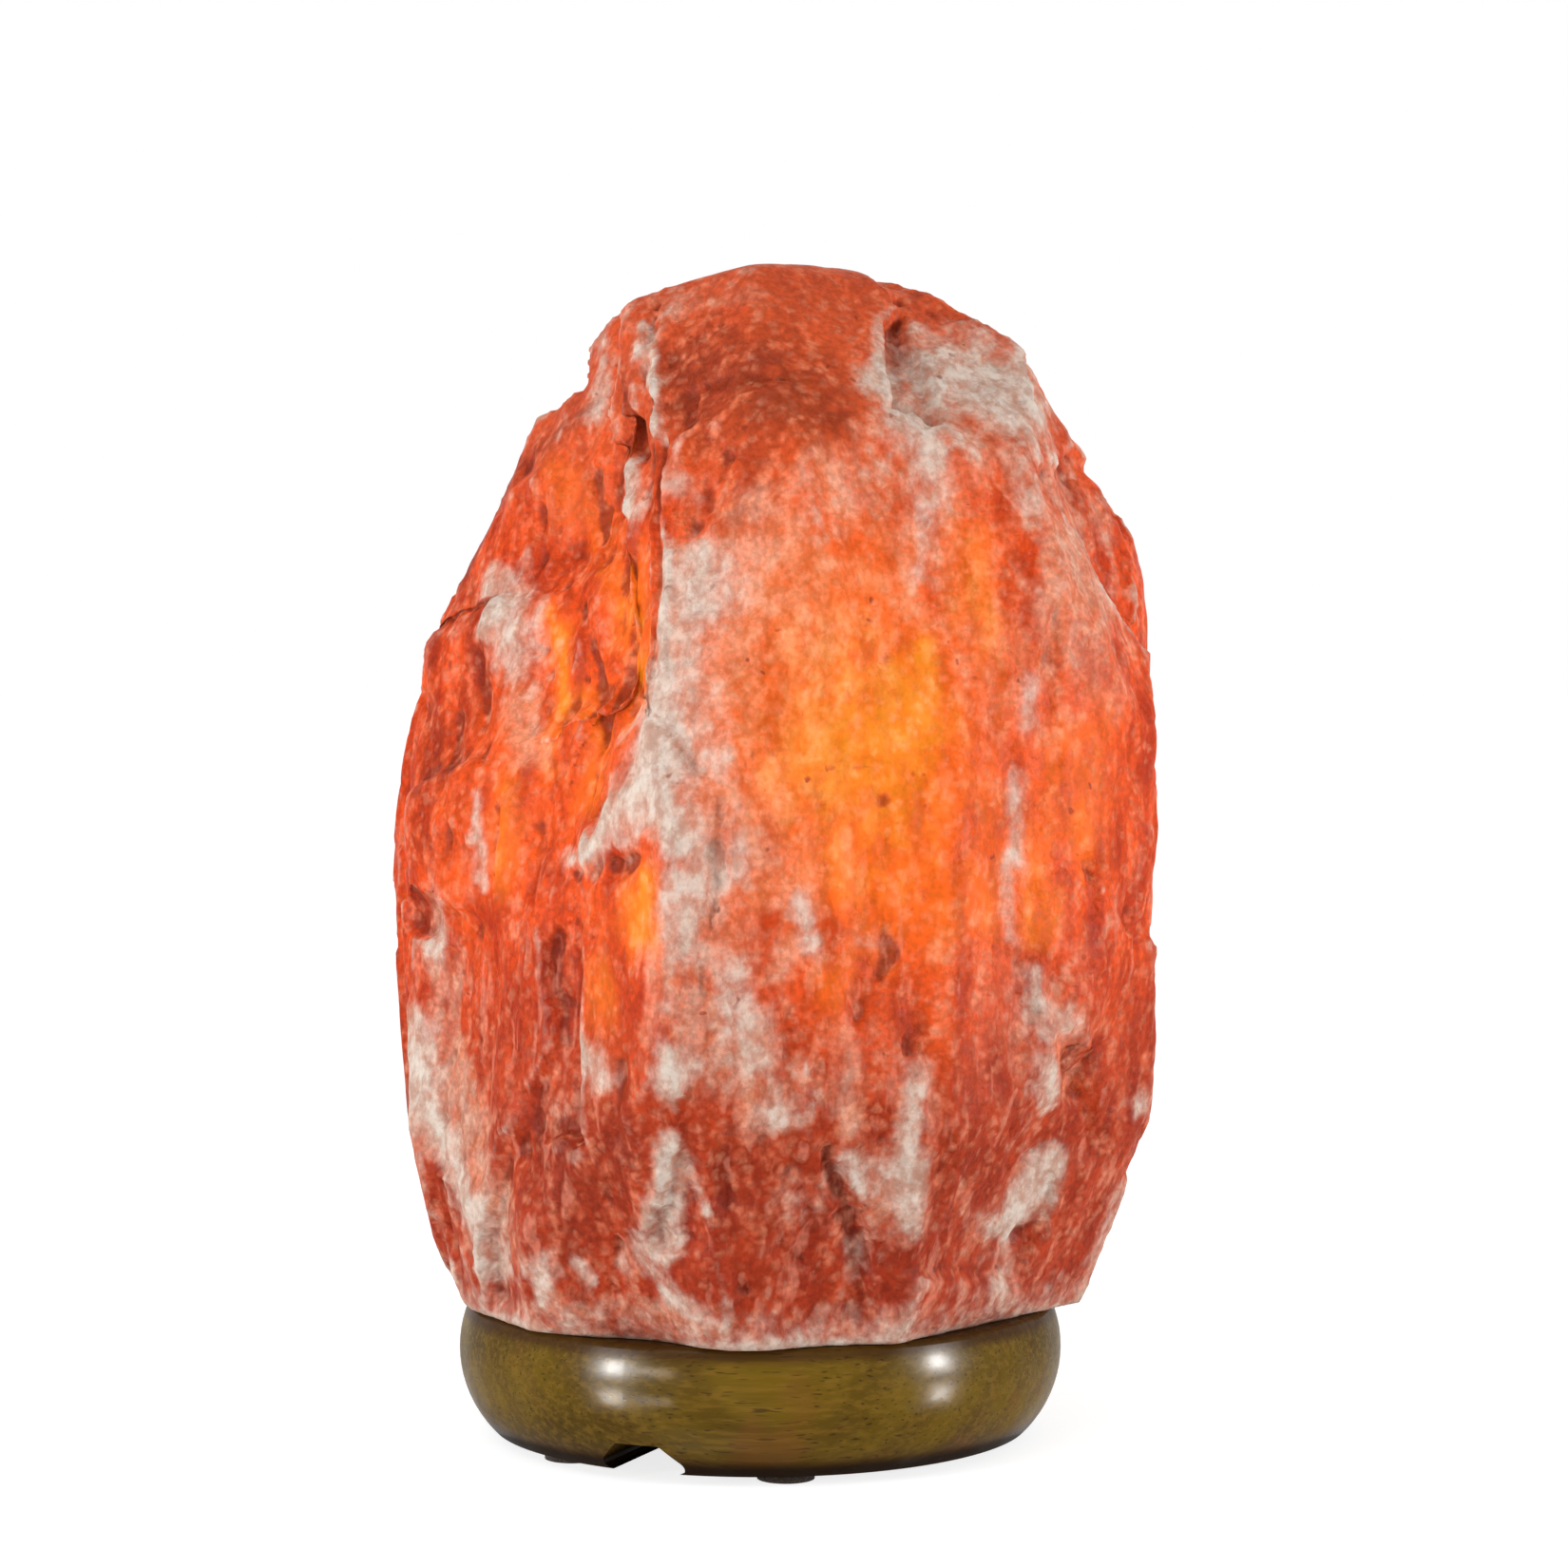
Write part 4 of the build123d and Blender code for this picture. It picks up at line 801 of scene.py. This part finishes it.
table_top = Finish("white_table")
table_paint = table_top.node("ShaderNodeBsdfDiffuse", None, {"Color": TABLE_PAINT})
table_white = table_top.node("ShaderNodeEmission", None, {"Color": WHITE, "Strength": TABLE_LIGHT})
white_share = seen(table_top) * TABLE_LIGHT_SHARE
table_mix = table_top.node("ShaderNodeMixShader", None, {0: white_share, 1: table_paint, 2: table_white})
table_gloss = table_top.node("ShaderNodeBsdfGlossy", None, {"Color": WHITE, "Roughness": MIRROR_BLUR})
gloss_share = table_top.node("ShaderNodeLightPath", output="Is Glossy Ray") * MIRROR_SHARE
table_mix = table_top.node("ShaderNodeMixShader", None, {0: gloss_share, 1: table_mix, 2: table_gloss})
table_top.node("ShaderNodeOutputMaterial", None, {"Surface": table_mix})
grid = bmesh.new()
bmesh.ops.create_grid(grid, x_segments=1, y_segments=1, size=TABLE_HALF_SIZE)
table_mesh = bpy.data.meshes.new("table")
grid.to_mesh(table_mesh)
grid.free()
table = bpy.data.objects.new("table", table_mesh)
table_mesh.materials.append(table_top.owner)
bpy.context.scene.collection.objects.link(table)


def hang_softbox(name, bearing, elevation, distance, size, brightness):
    """A rectangular lamp at a bearing from the front towards +X, aimed at the crystal's foot."""
    data = bpy.data.lights.new(name, "AREA")
    data.shape = "RECTANGLE"
    data.size, data.size_y = size
    data.energy = brightness * pi * size[0] * size[1]
    lamp = bpy.data.objects.new(name, data)
    turn, lift = radians(bearing), radians(elevation)
    outward = Vector((sin(turn) * cos(lift), -cos(turn) * cos(lift), sin(lift)))
    lamp.location = Vector(LAMP_AIM) + outward * distance
    lamp.rotation_euler = outward.to_track_quat("Z", "Y").to_euler()
    bpy.context.scene.collection.objects.link(lamp)
    return lamp


for side, bearing in (("left", -55), ("right", 69)):
    hang_softbox("softbox_" + side, bearing, elevation=8, distance=0.85, size=(0.16, 0.25), brightness=30)
    for name, size, brightness in (("sparkle_", (0.08, 0.15), 230), ("halo_", (0.34, 0.36), 11)):
        shine = hang_softbox(
            name + side, bearing, elevation=10, distance=0.84, size=size, brightness=brightness,
        )
        shine.visible_diffuse = False
strip_light = hang_softbox("strip_light", -40, elevation=10, distance=0.85, size=(0.22, 0.08), brightness=48)
strip_light.visible_diffuse = False
hang_softbox("softbox_above", -30, elevation=50, distance=1.6, size=(0.7, 0.7), brightness=3.2)
